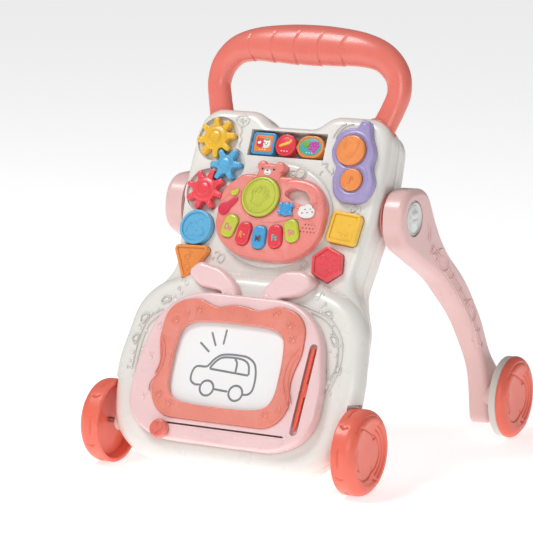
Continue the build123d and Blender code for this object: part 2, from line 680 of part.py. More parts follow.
def rear_ring():
    r = REAR_WHEEL_R - 0.4
    profile = [(0, STUB_R + RUNNING_GAP), (0, 12), (3.5, 12), (3.5, r - 7), (0, r - 6), (0, r - 1), (1, r)]
    profile += [(REAR_RING_T, r), (REAR_RING_T, STUB_R + RUNNING_GAP)]
    return turned(profile, REAR_WHEEL_IN, REAR_AXLE_Y, REAR_WHEEL_R)


def rear_wheel():
    r, t = REAR_WHEEL_R, REAR_WHEEL_T
    bore = STUB_R + RUNNING_GAP
    profile = [(0, bore), (0, r - 0.6), (0.6, r)] + round_rim(1.2, t, r, r - 11)
    profile += [(t - 0.2, 29), (t - 1.8, 28), (t - 1.8, 25.5), (t - 3.0, 24.5), (t - 3.0, 21.5), (t - 2.0, 20.5)]
    profile += [(t - 2.0, 8), (t - 1.2, 7), (t - 1.2, 0), (t - 3.6, 0), (t - 3.6, bore)]
    return turned(profile, REAR_WHEEL_IN + REAR_RING_T, REAR_AXLE_Y, REAR_WHEEL_R)


STUB_R = 4.0


def rear_axle():
    head = x_rod(REAR_AXLE_Y, REAR_WHEEL_R, 7, 134, 136)
    tip = REAR_WHEEL_IN + REAR_RING_T + REAR_WHEEL_T - 4.0
    return head + x_rod(REAR_AXLE_Y, REAR_WHEEL_R, STUB_R, 136, tip)


# ---------------------------------------------------------------- legs
LEG_OUTLINE = [
    (104, 300, 30), (166, 300, 30), (200, 234, 160), (262, 186, 200), (300, 138, 160), (322, 96, 90),
    (348, 70, 22), (352, 12, 15), (313, 12, 13), (308, 78, 90), (262, 142, 200), (196, 196, 160), (100, 246, 30),
]


def leg_profile(edge=0.0):
    """Side view of a leg; the outline's first number is measured back from the front axle."""
    corners = [(y + FRONT_AXLE_Y, z, r) for y, z, r in LEG_OUTLINE]
    return face_of(inset(corners, edge))


def leg_plate(edge, x0, x1):
    """Leg outline stood between two X planes."""
    flat = Plane(origin=(0, 0, 0), x_dir=(0, 1, 0), z_dir=(1, 0, 0)).location * leg_profile(edge)
    return Pos(x0, 0, 0) * extrude(flat, amount=x1 - x0, dir=(1, 0, 0))


def splayed(shape):
    """Lean a leg piece outward about the hinge's height."""
    return Pos(LEG_IN, 0, HINGE_Z) * Rot(0, -LEG_SPLAY, 0) * Pos(-LEG_IN, 0, -HINGE_Z) * shape


def right_leg():
    x_out = LEG_IN + LEG_T
    body = leg_plate(0, LEG_IN + 0.9, x_out)
    body = fillet(body.faces().sort_by(Axis.X)[-1].edges(), 7)
    hollow = leg_plate(3, LEG_IN, x_out - 3.2)
    hollow -= x_rod(HINGE_Y, HINGE_Z, HINGE_R + 6, LEG_IN - 5, x_out)
    hollow -= x_rod(HINGE_Y, HINGE_Z, CAP_R + 3, x_out - 8, x_out)
    hollow -= x_rod(REAR_AXLE_Y, REAR_WHEEL_R, 11, LEG_IN - 5, x_out)
    leg = splayed(body - hollow)
    leg += x_rod(REAR_AXLE_Y, REAR_WHEEL_R, 15, 146, REAR_WHEEL_IN - 0.5)
    leg += x_rod(HINGE_Y, HINGE_Z, HINGE_R + 5, LEG_IN - 1.5, LEG_IN + 8)
    leg -= x_rod(HINGE_Y, HINGE_Z, HINGE_R + RUNNING_GAP, LEG_IN - 2, x_out - 6)
    leg -= x_rod(HINGE_Y, HINGE_Z, CAP_R + 0.4, x_out - 4.2, x_out + 5)
    leg -= x_rod(REAR_AXLE_Y, REAR_WHEEL_R, STUB_R, 120, REAR_WHEEL_IN)
    return leg - x_rod(REAR_AXLE_Y, REAR_WHEEL_R, 7.1, 120, 136)


CAP_R = 19.0


def right_leg_cover():
    cover = splayed(leg_plate(3.2, LEG_IN - 1.2 + 0.9, LEG_IN + 0.9))
    cover -= x_rod(HINGE_Y, HINGE_Z, HINGE_R + 6.3, LEG_IN - 10, LEG_IN + 10)
    return cover - x_rod(REAR_AXLE_Y, REAR_WHEEL_R, 11.5, 100, 150)


def right_hub_cap():
    """Smooth cap with a raised middle, set in the hub's recess."""
    x0 = LEG_IN + LEG_T - 4.1
    profile = [(0, 0), (0, CAP_R), (2.4, CAP_R), (3.6, CAP_R - 2.2), (3.0, CAP_R - 5), (2.6, 9), (4.2, 7), (4.8, 0)]
    return turned(profile, x0, HINGE_Y, HINGE_Z)


def right_hinge_pin():
    pin = x_rod(HINGE_Y, HINGE_Z, HINGE_R, 92, LEG_IN + LEG_T - 6.4)
    pin += x_rod(HINGE_Y, HINGE_Z, 27, LEG_IN - 3.9, LEG_IN - 1.9)
    return pin + x_rod(HINGE_Y, HINGE_Z, HINGE_R + 4, 90, 92)


# ---------------------------------------------------------------- write every piece
def write_body():
    save_panel("front_shell", front_shell())
    save_panel("rear_cover", rear_cover())
    save_panel("handle", handle_body())
    save_panel("battery_door", battery_door())
    save_panel("pad_cells", Compound(children=pad_cells()))
    save_panel("cover_screws", Compound(children=screws()))
    save_panel("gear_posts", Compound(children=gear_posts()))
    save_panel("flip_block_rod", cross_rod(0.2, ROD_W, ROD_R, -1.5 - TRAY_U / 2, -1.5 + TRAY_U / 2))
    save("front_axle", x_rod(FRONT_AXLE_Y, FRONT_WHEEL_R, AXLE_R, -FRONT_WHEEL_IN - 11, FRONT_WHEEL_IN + 11))


def write_toys():
    for name in GEARS:
        save_panel(name, gear(name))
    for name, face in FLIP_FACES.items():
        save_panel(name, flip_block(face))
    for name, face in block_faces().items():
        save_panel(name, shape_block(face))
    save_panel("sound_pad", sound_pad())
    save_panel("sound_pad_board", sound_pad_board())
    save_panel("big_sound_button", button(*BIG_BUTTON, PAD_TOP - 1, PAD_TOP + 4.5))
    save_panel("small_sound_button", button(*SMALL_BUTTON, PAD_TOP - 1, PAD_TOP + 3.8))


def write_piano():
    save_panel("piano_body", piano_body())
    save_panel("piano_back", piano_back())
    save_panel("piano_cells", Compound(children=piano_cells()))
    save_panel("piano_board", piano_board())
    save_panel("piano_speaker", speaker())
    save_panel("cloud_trim", cloud_trim())
    save_panel("drum_button", drum_button())
    save_panel("paw_button", paw_button())
    for number, key in enumerate(KEYS, start=1):
        save_panel(f"piano_key_{number}", piano_key(key))


def write_board():
    save_panel("board_frame", board_frame())
    save_panel("board_bezel", board_bezel())
    save_panel("drawing_screen", drawing_screen())
    save_panel("board_back", board_back())
    save_panel("slider_knob", slider_knob())
    save_panel("eraser_magnet", eraser_magnet())
    save_panel("pen", pen())


def write_running_gear():
    pieces = {
        "leg": right_leg(), "leg_cover": right_leg_cover(), "hub_cap": right_hub_cap(),
        "hinge_pin": right_hinge_pin(), "rear_axle": rear_axle(), "front_wheel": front_wheel(),
        "rear_wheel": rear_wheel(), "rear_ring": rear_ring(),
    }
    for name, piece in pieces.items():
        save(f"right_{name}", piece)
        save(f"left_{name}", mirror_x(piece))


write_body()
write_toys()
write_piano()
write_board()
write_running_gear()
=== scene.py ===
import json
from math import atan2, cos, degrees, hypot, pi, radians, sin, sqrt, tau

import bpy
import numpy as np
from mathutils import Matrix, Vector
from mathutils.bvhtree import BVHTree


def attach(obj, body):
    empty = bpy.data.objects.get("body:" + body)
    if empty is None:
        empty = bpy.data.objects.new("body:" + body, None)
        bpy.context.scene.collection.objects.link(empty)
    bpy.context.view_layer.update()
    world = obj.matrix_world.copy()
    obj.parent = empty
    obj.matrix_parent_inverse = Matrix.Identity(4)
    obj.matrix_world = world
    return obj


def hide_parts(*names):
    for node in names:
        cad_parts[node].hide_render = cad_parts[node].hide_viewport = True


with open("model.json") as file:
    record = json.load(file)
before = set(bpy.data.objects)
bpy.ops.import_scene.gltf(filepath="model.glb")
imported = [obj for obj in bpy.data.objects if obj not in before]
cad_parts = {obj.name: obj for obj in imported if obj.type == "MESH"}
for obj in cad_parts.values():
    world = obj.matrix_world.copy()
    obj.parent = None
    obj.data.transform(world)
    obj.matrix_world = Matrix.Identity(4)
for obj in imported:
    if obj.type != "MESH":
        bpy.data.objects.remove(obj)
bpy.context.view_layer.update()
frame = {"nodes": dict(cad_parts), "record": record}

# Panel coordinates in millimetres: u to the right, v up along the panel, w out of it.
LEAN = radians(24.0)
PANEL_Y, PANEL_Z = -40.6, 341.0
FRONT_AXLE = (-160.6, 45.0)
REAR_AXLE = (164.4, 46.0)
HINGE = (-29.1, 270.6)
LEG_IN, LEG_T, SPLAY = 122.4, 24.0, radians(1.7)


def panel(u, v, w):
    """Panel millimetres to world metres."""
    y = PANEL_Y + v * sin(LEAN) - w * cos(LEAN)
    z = PANEL_Z + v * cos(LEAN) + w * sin(LEAN)
    return (u / 1000, y / 1000, z / 1000)


# ---------------------------------------------------------------- materials
def linear(rgb):
    return [((c / 255 + 0.055) / 1.055) ** 2.4 if c > 10 else c / 255 / 12.92 for c in rgb]


def plastic(name, rgb, rough=0.3, coat=0.25, tone=0.035, grain=0.05, wear=0.10, scratch=0.05, crevice=0.5):
    """Moulded plastic: mottled pigment, mould texture, handling marks, worn edges, and painted shade that
    darkens the colour in crevices.
    """
    mat = bpy.data.materials.new(name)
    mat.use_nodes = True
    nodes, links = mat.node_tree.nodes, mat.node_tree.links
    bsdf = nodes["Principled BSDF"]
    bsdf.inputs["Coat Weight"].default_value = coat
    bsdf.inputs["Coat Roughness"].default_value = 0.12
    bsdf.inputs["IOR"].default_value = 1.5
    where = nodes.new("ShaderNodeTexCoord")
    base = linear(rgb)

    def noise(scale, detail=3.0, stretch=None):
        node = nodes.new("ShaderNodeTexNoise")
        node.inputs["Scale"].default_value = scale
        node.inputs["Detail"].default_value = detail
        if stretch:
            turn = nodes.new("ShaderNodeMapping")
            turn.inputs["Scale"].default_value = stretch
            turn.inputs["Rotation"].default_value = (0.4, 0.7, 0.3)
            links.new(where.outputs["Object"], turn.inputs["Vector"])
            links.new(turn.outputs["Vector"], node.inputs["Vector"])
        else:
            links.new(where.outputs["Object"], node.inputs["Vector"])
        return node.outputs["Fac"]

    def spread(source, low, high, a=0.3, b=0.7):
        node = nodes.new("ShaderNodeMapRange")
        node.inputs["From Min"].default_value = a
        node.inputs["From Max"].default_value = b
        node.inputs["To Min"].default_value = low
        node.inputs["To Max"].default_value = high
        links.new(source, node.inputs["Value"])
        return node.outputs["Result"]

    def blend_colour(fac, first, second):
        node = nodes.new("ShaderNodeMix")
        node.data_type = "RGBA"
        links.new(fac, node.inputs["Factor"])
        for socket, value in ((node.inputs[6], first), (node.inputs[7], second)):
            if isinstance(value, list):
                socket.default_value = value + [1]
            else:
                links.new(value, socket)
        return node.outputs[2]

    darker = [c * (1 - 2 * tone) for c in base]
    lighter = [min(1, c * (1 + tone) + 0.2 * tone) for c in base]
    colour = blend_colour(spread(noise(26.0), 0, 1), darker, lighter)
    speck = spread(noise(420.0, 4.0), 0, 0.35, 0.56, 0.74)
    colour = blend_colour(speck, colour, [c * (1 - 1.6 * tone) for c in base])
    edge = nodes.new("ShaderNodeNewGeometry")
    worn = spread(edge.outputs["Pointiness"], 0, wear * 4, 0.53, 0.62)
    colour = blend_colour(worn, colour, [min(1, c * 0.75 + 0.27) for c in base])
    # Painted shade: ambient occlusion darkens the base colour in crevices and round raised relief, standing
    # in for shadow.
    painted_shade_ao = nodes.new("ShaderNodeAmbientOcclusion")
    painted_shade_ao.samples = 6
    painted_shade_ao.inputs["Distance"].default_value = 0.0045
    colour = blend_colour(spread(painted_shade_ao.outputs["AO"], crevice, 0, 0.25, 0.92), colour,
                          [c * 0.42 for c in base])
    links.new(colour, bsdf.inputs["Base Color"])

    marks = noise(9.0, 6.0, (1.0, 14.0, 3.0))
    total = nodes.new("ShaderNodeMath")
    total.operation = "ADD"
    links.new(spread(noise(70.0), rough - 0.05, rough + 0.06), total.inputs[0])
    links.new(spread(marks, 0, scratch * 2, 0.6, 0.75), total.inputs[1])
    links.new(total.outputs["Value"], bsdf.inputs["Roughness"])

    bump = nodes.new("ShaderNodeBump")
    bump.inputs["Strength"].default_value = grain * 4
    bump.inputs["Distance"].default_value = 0.00025
    links.new(noise(1400.0, 2.0), bump.inputs["Height"])
    wave = nodes.new("ShaderNodeBump")
    wave.inputs["Strength"].default_value = 0.12
    wave.inputs["Distance"].default_value = 0.0006
    links.new(noise(85.0, 1.0), wave.inputs["Height"])
    links.new(bump.outputs["Normal"], wave.inputs["Normal"])
    links.new(wave.outputs["Normal"], bsdf.inputs["Normal"])
    return mat


def metal(name, rgb, rough=0.28):
    mat = plastic(name, rgb, rough, 0.0, 0.03, 0.03, 0.05, 0.12)
    mat.node_tree.nodes["Principled BSDF"].inputs["Metallic"].default_value = 1.0
    return mat


MAT = {
    "body_white": plastic("body_white", (241, 238, 232), 0.30, 0.3, 0.012, wear=0.03),
    "coral_handle": plastic("coral_handle", (240, 124, 110), 0.30, 0.25, 0.03),
    "door_white": plastic("door_white", (232, 230, 224), 0.42, 0.0, 0.02),
    "cell_wrap": plastic("cell_wrap", (74, 84, 98), 0.25, 0.4, 0.06),
    "screw_steel": metal("screw_steel", (176, 178, 182)),
    "white_plastic": plastic("white_plastic", (244, 242, 238), 0.28, 0.3, 0.012),
    "axle_steel": metal("axle_steel", (170, 172, 176), 0.22),
    "gear_yellow": plastic("gear_yellow", (252, 196, 46), 0.28, 0.3),
    "gear_blue": plastic("gear_blue", (92, 184, 232), 0.28, 0.3),
    "gear_red": plastic("gear_red", (252, 76, 88), 0.28, 0.3),
    "block_white": plastic("block_white", (245, 244, 240), 0.28, 0.3, 0.012),
    "block_blue": plastic("block_blue", (106, 190, 234), 0.28, 0.3),
    "block_orange": plastic("block_orange", (246, 152, 74), 0.28, 0.3),
    "block_yellow": plastic("block_yellow", (254, 200, 66), 0.28, 0.3),
    "block_red": plastic("block_red", (246, 84, 94), 0.28, 0.3),
    "pad_purple": plastic("pad_purple", (170, 156, 206), 0.30, 0.25),
    "circuit_board": plastic("circuit_board", (40, 96, 62), 0.45, 0.1, 0.08),
    "button_orange": plastic("button_orange", (248, 150, 78), 0.26, 0.35),
    "piano_pink": plastic("piano_pink", (246, 142, 132), 0.28, 0.3),
    "speaker_black": plastic("speaker_black", (40, 40, 44), 0.5, 0.0, 0.06),
    "drum_lime": plastic("drum_lime", (206, 212, 78), 0.26, 0.35),
    "key_lime": plastic("key_lime", (206, 214, 70), 0.24, 0.4),
    "key_red": plastic("key_red", (242, 66, 80), 0.24, 0.4),
    "key_blue": plastic("key_blue", (76, 170, 228), 0.24, 0.4),
    "board_pink": plastic("board_pink", (250, 212, 212), 0.30, 0.3, 0.02, wear=0.03),
    "bezel_coral": plastic("bezel_coral", (242, 140, 122), 0.28, 0.3),
    "screen_white": plastic("screen_white", (252, 252, 252), 0.34, 0.2, 0.008, grain=0.02, wear=0.0,
                            crevice=0.3),
    "magnet_grey": plastic("magnet_grey", (66, 68, 74), 0.5, 0.0, 0.06),
    "pen_red": plastic("pen_red", (248, 96, 72), 0.24, 0.4),
    "leg_pink": plastic("leg_pink", (241, 198, 195), 0.32, 0.25, 0.02, wear=0.04),
    "cap_white": plastic("cap_white", (226, 228, 224), 0.16, 0.6, 0.015),
    "wheel_coral": plastic("wheel_coral", (250, 116, 94), 0.36, 0.15, 0.03),
    "ring_white": plastic("ring_white", (228, 224, 216), 0.36, 0.15, 0.02),
}
INK = {
    "ink_dark": plastic("ink_dark", (52, 46, 56), 0.35, 0.2, 0.05),
    "ink_pink": plastic("ink_pink", (240, 96, 140), 0.35, 0.2),
    "ink_white": plastic("ink_white", (250, 248, 246), 0.35, 0.2, 0.01),
    "ink_grey": plastic("ink_grey", (134, 134, 138), 0.5, 0.0, 0.06),
    "ink_red": plastic("ink_red", (226, 52, 78), 0.35, 0.2),
    "ink_blue": plastic("ink_blue", (44, 128, 196), 0.35, 0.2),
    "ink_teal": plastic("ink_teal", (70, 184, 178), 0.35, 0.2),
    "ink_green": plastic("ink_green", (122, 186, 70), 0.35, 0.2),
    "ink_orange": plastic("ink_orange", (244, 142, 62), 0.35, 0.2),
    "ink_yellow": plastic("ink_yellow", (252, 206, 60), 0.35, 0.2),
    "ink_purple": plastic("ink_purple", (206, 72, 176), 0.35, 0.2),
    "handle_seam": plastic("handle_seam", (206, 104, 94), 0.4, 0.1),
}

slot_of = {s["node"]: s["material_slot"] for s in frame["record"]["subparts"]}
for node, obj in frame["nodes"].items():
    obj.data.materials.clear()
    obj.data.materials.append(MAT[slot_of[node]])


# ---------------------------------------------------------------- mesh tools
def smooth_line(points, closed=False, step=1.2):
    """Points along a smooth curve through the given points."""
    pts = [np.array(p, float) for p in points]
    n = len(pts)
    out = []
    for i in range(n if closed else n - 1):
        p1, p2 = pts[i], pts[(i + 1) % n]
        p0 = pts[i - 1] if closed or i > 0 else 2 * p1 - p2
        p3 = pts[(i + 2) % n] if closed or i + 2 < n else 2 * p2 - p1
        count = max(2, int(np.linalg.norm(p2 - p1) / step))
        for k in range(count):
            t = k / count
            out.append(0.5 * (2 * p1 + (p2 - p0) * t + (2 * p0 - 5 * p1 + 4 * p2 - p3) * t * t
                              + (3 * p1 - p0 - 3 * p2 + p3) * t ** 3))
    if not closed:
        out.append(pts[-1])
    return out


def tree_of(*nodes):
    """Search tree over the surfaces of some nodes."""
    verts, faces = [], []
    for node in nodes:
        mesh = frame["nodes"][node].data
        base = len(verts)
        verts += [v.co for v in mesh.vertices]
        faces += [[base + i for i in f.vertices] for f in mesh.polygons]
    return BVHTree.FromPolygons(verts, faces)


def hug(*nodes, floor=-40.0):
    """Place on the panel side of some nodes: (u, v, height above the surface there)."""
    tree = tree_of(*nodes)
    into = -(Vector(panel(0, 0, 1)) - Vector(panel(0, 0, 0))).normalized()

    def place(u, v, h):
        hit = tree.ray_cast(Vector(panel(u, v, 60)), into, 0.2)
        w = 60 - hit[3] * 1000 if hit[0] else floor
        return panel(u, v, w + h)
    return place


def hug_leg(side, *nodes):
    """Place on the outer side of a leg: (y, z, height above the surface there)."""
    tree = tree_of(*nodes)

    def place(y, z, h):
        hit = tree.ray_cast(Vector((side * 0.3, y / 1000, z / 1000)), Vector((-side, 0, 0)), 0.2)
        spot = hit[0] or tree.find_nearest(Vector((side * 0.146, y / 1000, z / 1000)))[0]
        return (spot.x + side * h / 1000, spot.y, spot.z)
    return place


class Shape:
    """Collects relief in millimetres and turns it into one piece that rides on a body."""

    def __init__(self, name, material, body, place=panel):
        self.name, self.material, self.body, self.place = name, material, body, place
        self.verts, self.faces = [], []

    def add(self, verts, faces):
        base = len(self.verts)
        self.verts += [self.place(*v) for v in verts]
        self.faces += [[base + i for i in f] for f in faces]

    def ridge(self, points, w, width=1.4, height=0.6, closed=False, sunk=0.4, step=1.2, smooth=True):
        """Rounded raised line on the surface at height w."""
        path = smooth_line(points, closed, step) if smooth else [np.array(p, float) for p in points]
        n, half = len(path), width / 2
        profile = [(-1.0, -sunk), (-0.92, height * 0.35), (-0.6, height * 0.8), (0, height),
                   (0.6, height * 0.8),
                   (0.92, height * 0.35), (1.0, -sunk)]
        verts, faces = [], []
        for i, p in enumerate(path):
            a = path[i - 1] if closed or i else p
            b = path[(i + 1) % n] if closed or i < n - 1 else p
            t = (b - a) / (np.linalg.norm(b - a) + 1e-9)
            s = np.array([-t[1], t[0]])
            end = 1.0 if closed else min(1.0, sqrt(min(i, n - 1 - i) * step / half + 0.04))
            for x, h in profile:
                q = p + s * x * half * end
                verts.append((q[0], q[1], w + (h * end if h > 0 else h)))
        m = len(profile)
        for i in range(n if closed else n - 1):
            j = (i + 1) % n
            for k in range(m):
                l = (k + 1) % m
                faces.append((i * m + k, i * m + l, j * m + l, j * m + k))
        if not closed:
            faces.append(tuple(range(m)))
            faces.append(tuple(range(n * m - 1, (n - 1) * m - 1, -1)))
        self.add(verts, faces)

    def dome(self, u, v, w, a, b, height, turn=0.0, sunk=0.4, power=2.0, ring=28):
        """Rounded raised button of elliptical outline."""
        steps = [0, 0.35, 0.62, 0.82, 0.94, 1.0]
        verts, faces = [(u, v, w + height)], []
        for r in steps[1:]:
            h = height * (1 - r ** power) ** (1 / power) if r < 1 else 0
            for k in range(ring):
                q = tau * k / ring
                x, y = a * r * cos(q), b * r * sin(q)
                verts.append((u + x * cos(turn) - y * sin(turn), v + x * sin(turn) + y * cos(turn), w + h))
        for k in range(ring):
            x, y = verts[1 + (len(steps) - 2) * ring + k][:2]
            verts.append((x, y, w - sunk))
        rows = len(steps) - 1
        for k in range(ring):
            faces.append((0, 1 + k, 1 + (k + 1) % ring))
        for i in range(rows):
            for k in range(ring):
                l = (k + 1) % ring
                a0, b0 = 1 + i * ring, 1 + (i + 1) * ring
                faces.append((a0 + k, b0 + k, b0 + l, a0 + l))
        faces.append(tuple(1 + rows * ring + k for k in range(ring))[::-1])
        self.add(verts, faces)

    def curve(self, data, u, v, w, turn=0.0, narrow=1.0):
        """Adds a Blender curve's mesh, given in millimetres about its own origin."""
        holder = bpy.data.objects.new("scratch", data)
        bpy.context.scene.collection.objects.link(holder)
        bpy.context.view_layer.update()
        mesh = bpy.data.meshes.new_from_object(holder.evaluated_get(bpy.context.evaluated_depsgraph_get()))
        verts = [(u + narrow * p.co.x * cos(turn) - p.co.y * sin(turn),
                  v + narrow * p.co.x * sin(turn) + p.co.y * cos(turn),
                  w + p.co.z) for p in mesh.vertices]
        faces = [tuple(f.vertices) for f in mesh.polygons]
        self.add(verts, faces)
        bpy.data.objects.remove(holder)
        bpy.data.meshes.remove(mesh)

    def plate(self, points, low, high, edge=0.5, smooth=True, holes=()):
        """Raised patch with rounded edges between two heights."""
        data = bpy.data.curves.new("scratch", "CURVE")
        data.dimensions, data.fill_mode = "2D", "BOTH"
        data.extrude = max(0.01, (high - low) / 2 - edge)
        data.bevel_depth, data.bevel_resolution, data.offset = edge, 3, -edge
        for loop in (points, *holes):
            line = smooth_line(loop, True, 0.9) if smooth else loop
            spline = data.splines.new("POLY")
            spline.points.add(len(line) - 1)
            for p, q in zip(spline.points, line):
                p.co = (q[0], q[1], 0, 1)
            spline.use_cyclic_u = True
        self.curve(data, 0, 0, (low + high) / 2)
        bpy.data.curves.remove(data)

    def text(self, words, u, v, w, size, turn=0.0, thick=0.5, bold=0.0, narrow=1.0):
        data = bpy.data.curves.new("scratch", "FONT")
        data.body, data.size, data.align_x, data.align_y = words, size, "CENTER", "CENTER"
        data.extrude, data.offset = thick / 2, bold
        self.curve(data, u, v, w, turn, narrow)
        bpy.data.curves.remove(data)

    def done(self, angle=50.0):
        mesh = bpy.data.meshes.new(self.name)
        mesh.from_pydata(self.verts, [], self.faces)
        mesh.update()
        obj = bpy.data.objects.new(self.name, mesh)
        bpy.context.scene.collection.objects.link(obj)
        mesh.materials.append(self.material)
        return finish_piece(obj, self.body, angle)


def finish_piece(obj, body, angle=50.0):
    """Outward normals, smooth shading up to an angle, and a body to ride on."""
    import bmesh
    work = bmesh.new()
    work.from_mesh(obj.data)
    bmesh.ops.remove_doubles(work, verts=work.verts, dist=1e-7)
    bmesh.ops.recalc_face_normals(work, faces=work.faces)
    for face in work.faces:
        face.smooth = True
    for e in work.edges:
        e.smooth = len(e.link_faces) == 2 and e.calc_face_angle(0) < radians(angle)
    work.to_mesh(obj.data)
    work.free()
    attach(obj, body)
    return obj


def circle_points(u, v, r, n=24, start=0.0, sweep=tau):
    count = n if sweep == tau else n + 1
    return [(u + r * cos(start + sweep * k / n), v + r * sin(start + sweep * k / n)) for k in range(count)]


# ---------------------------------------------------------------- camera, floor and light
def look():
    """Camera at the photograph's angle."""
    azimuth, elevation, roll, away, focal, right, up = 29.154, 9.484, 0.347, 2880.86, 2725.76, 36.927, 222.064
    a, e, q = radians(azimuth), radians(elevation), radians(roll)
    back = Vector((sin(a) * cos(e), -cos(a) * cos(e), sin(e)))
    side = Vector((cos(a), sin(a), 0))
    top = back.cross(side)
    x_axis = side * cos(q) + top * sin(q)
    y_axis = top * cos(q) - side * sin(q)
    spot = (x_axis * right + y_axis * up + back * away + Vector((0, FRONT_AXLE[0], 0))) / 1000
    data = bpy.data.cameras.new("camera")
    data.lens, data.sensor_width = focal * 36 / 534, 36
    camera = bpy.data.objects.new("camera", data)
    bpy.context.scene.collection.objects.link(camera)
    turn = Matrix((x_axis, y_axis, back)).transposed().to_4x4()
    camera.matrix_world = Matrix.Translation(spot) @ turn
    bpy.context.scene.camera = camera


def area_light(name, spot, target, size, power, tint=(1, 1, 1)):
    data = bpy.data.lights.new(name, "AREA")
    data.shape, data.size, data.energy, data.color = "DISK", size, power, tint
    lamp = bpy.data.objects.new(name, data)
    bpy.context.scene.collection.objects.link(lamp)
    lamp.location = spot
    lamp.rotation_euler = (Vector(target) - Vector(spot)).to_track_quat("-Z", "Y").to_euler()


def studio():
    mesh = bpy.data.meshes.new("floor")
    mesh.from_pydata([(-20, -20, 0), (20, -20, 0), (20, 20, 0), (-20, 20, 0)], [], [(0, 1, 2, 3)])
    floor = bpy.data.objects.new("floor", mesh)
    bpy.context.scene.collection.objects.link(floor)
    pale = plastic("floor_pale", (250, 250, 250), 0.8, 0.0, 0.004, wear=0.0, grain=0.01, crevice=0.0)
    glow = pale.node_tree.nodes["Principled BSDF"]
    glow.inputs["Emission Color"].default_value = (1, 1, 1, 1)
    glow.inputs["Emission Strength"].default_value = 0.6
    mesh.materials.append(pale)
    world = bpy.data.worlds.new("studio")
    bpy.context.scene.world = world
    world.use_nodes = True
    sky = world.node_tree.nodes["Background"]
    sky.inputs["Color"].default_value = (1, 1, 1, 1)
    sky.inputs["Strength"].default_value = 0.23
    area_light("key", (-1.3, -1.5, 3.2), (0, 0, 0.25), 1.3, 56)
    area_light("front", (1.5, -2.5, 1.3), (0, 0, 0.25), 1.5, 17)
    bpy.context.scene.view_settings.view_transform = "Standard"


look()
studio()


# ---------------------------------------------------------------- handle
def handle_piece():
    """Arched push bar: deep oval grip with five finger grooves, slimmer sides, collars at the feet."""
    half = [
        (0, 121.6, 22.6, 14.0), (30, 121.4, 21.6, 14.0), (64, 119.3, 18.8, 13.6), (89.5, 111.0, 16.2, 13.2),
        (105.8, 93.0, 14.4, 12.8), (110.6, 71.5, 13.0, 12.2), (106.2, 52.0, 13.2, 11.0),
        (100.2, 34.0, 13.8, 9.8),
        (95.8, 16.5, 13.8, 9.6),
    ]
    line = smooth_line([(-u, v, a, b) for u, v, a, b in reversed(half[1:])] + half, step=0.7)
    ring, verts, faces = 64, [], []
    grooves = [-13 + 28.8 * k for k in (-2, -1, 0, 1, 2)]
    for i, (u, v, a, b) in enumerate(line):
        before, after = line[max(0, i - 1)][:2], line[min(len(line) - 1, i + 1)][:2]
        t = (after - before) / np.linalg.norm(after - before)
        n = np.array([-t[1], t[0]])
        ahead = 18.0 * max(0.0, (v - 34) / 85.5) ** 2.2
        for k in range(ring):
            q = tau * k / ring
            c, s = cos(q), sin(q)
            up = np.sign(s) * abs(s) ** 0.94
            out = np.sign(c) * abs(c) ** 0.94
            shrink = 1.0
            if v > 105:
                low = max(0.0, -s)
                for g in grooves:
                    height = a * s
                    bend = 0.09 * max(0.0, height + 6) ** 1.35 * (1 if height > 2 else 0.35)
                    d = u - g - bend - 0.16 * max(0.0, -height)
                    front = min(1.0, max(0.0, (0.60 - s) * 3)) * (1.0 if c > 0 else 0.3)
                    shrink -= 0.06 * front * np.exp(-(d / 0.8) ** 2)
                phase = (u - grooves[0] - 2.4) / 28.8
                if -0.05 < phase < 4.2:
                    shrink += low ** 3 * (0.045 * (phase % 1.0) - 0.02)
            p = np.array([u, v - 0.4067 * ahead]) + n * a * up * shrink
            verts.append((p[0], p[1], -18 + 0.9135 * ahead + b * out * shrink))
    rows = len(line)
    for i in range(rows - 1):
        for k in range(ring):
            l = (k + 1) % ring
            faces.append((i * ring + k, i * ring + l, (i + 1) * ring + l, (i + 1) * ring + k))
    faces.append(tuple(range(ring)))
    faces.append(tuple(range(rows * ring - 1, (rows - 1) * ring - 1, -1)))
    piece = Shape("push_handle", MAT["coral_handle"], "chassis")
    piece.add(verts, faces)
    obj = piece.done(60)
    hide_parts("handle")


def handle_lips():
    """Thin lip of the push bar that lies along the body's shoulder round each foot."""
    tree = tree_of("front_shell", "rear_cover")
    for side, word in ((1, "right"), (-1, "left")):
        lip = Shape(f"{word}_handle_lip", MAT["coral_handle"], "chassis")
        rings = []
        for k in range(48):
            q = tau * k / 48
            top = Vector(panel(side * (103.4 + 14.6 * cos(q)), 60 - 3 * cos(q), -18 + 10.6 * sin(q)))
            low = Vector(panel(side * (96.0 + 15.0 * cos(q)), 16 - 3 * cos(q), -18 + 10.6 * sin(q)))
            way = (low - top).normalized()
            spot = tree.ray_cast(top, way, 0.045)[0] or tree.find_nearest(low)[0]
            rings.append((spot, way))
        verts, faces, around = [], [], 10
        for i, (p, way) in enumerate(rings):
            along = (rings[(i + 1) % 48][0] - rings[i - 1][0]).normalized()
            out = along.cross(way).normalized()
            for j in range(around):
                a = tau * j / around
                q = p + out * (0.0013 * cos(a)) - way * (0.0013 * sin(a) + 0.0004)
                verts.append(tuple(q))
        for i in range(48):
            for j in range(around):
                l, m = (i + 1) % 48, (j + 1) % around
                faces.append((i * around + j, i * around + m, l * around + m, l * around + j))
        lip.verts, lip.faces = verts, faces
        lip.done(70)


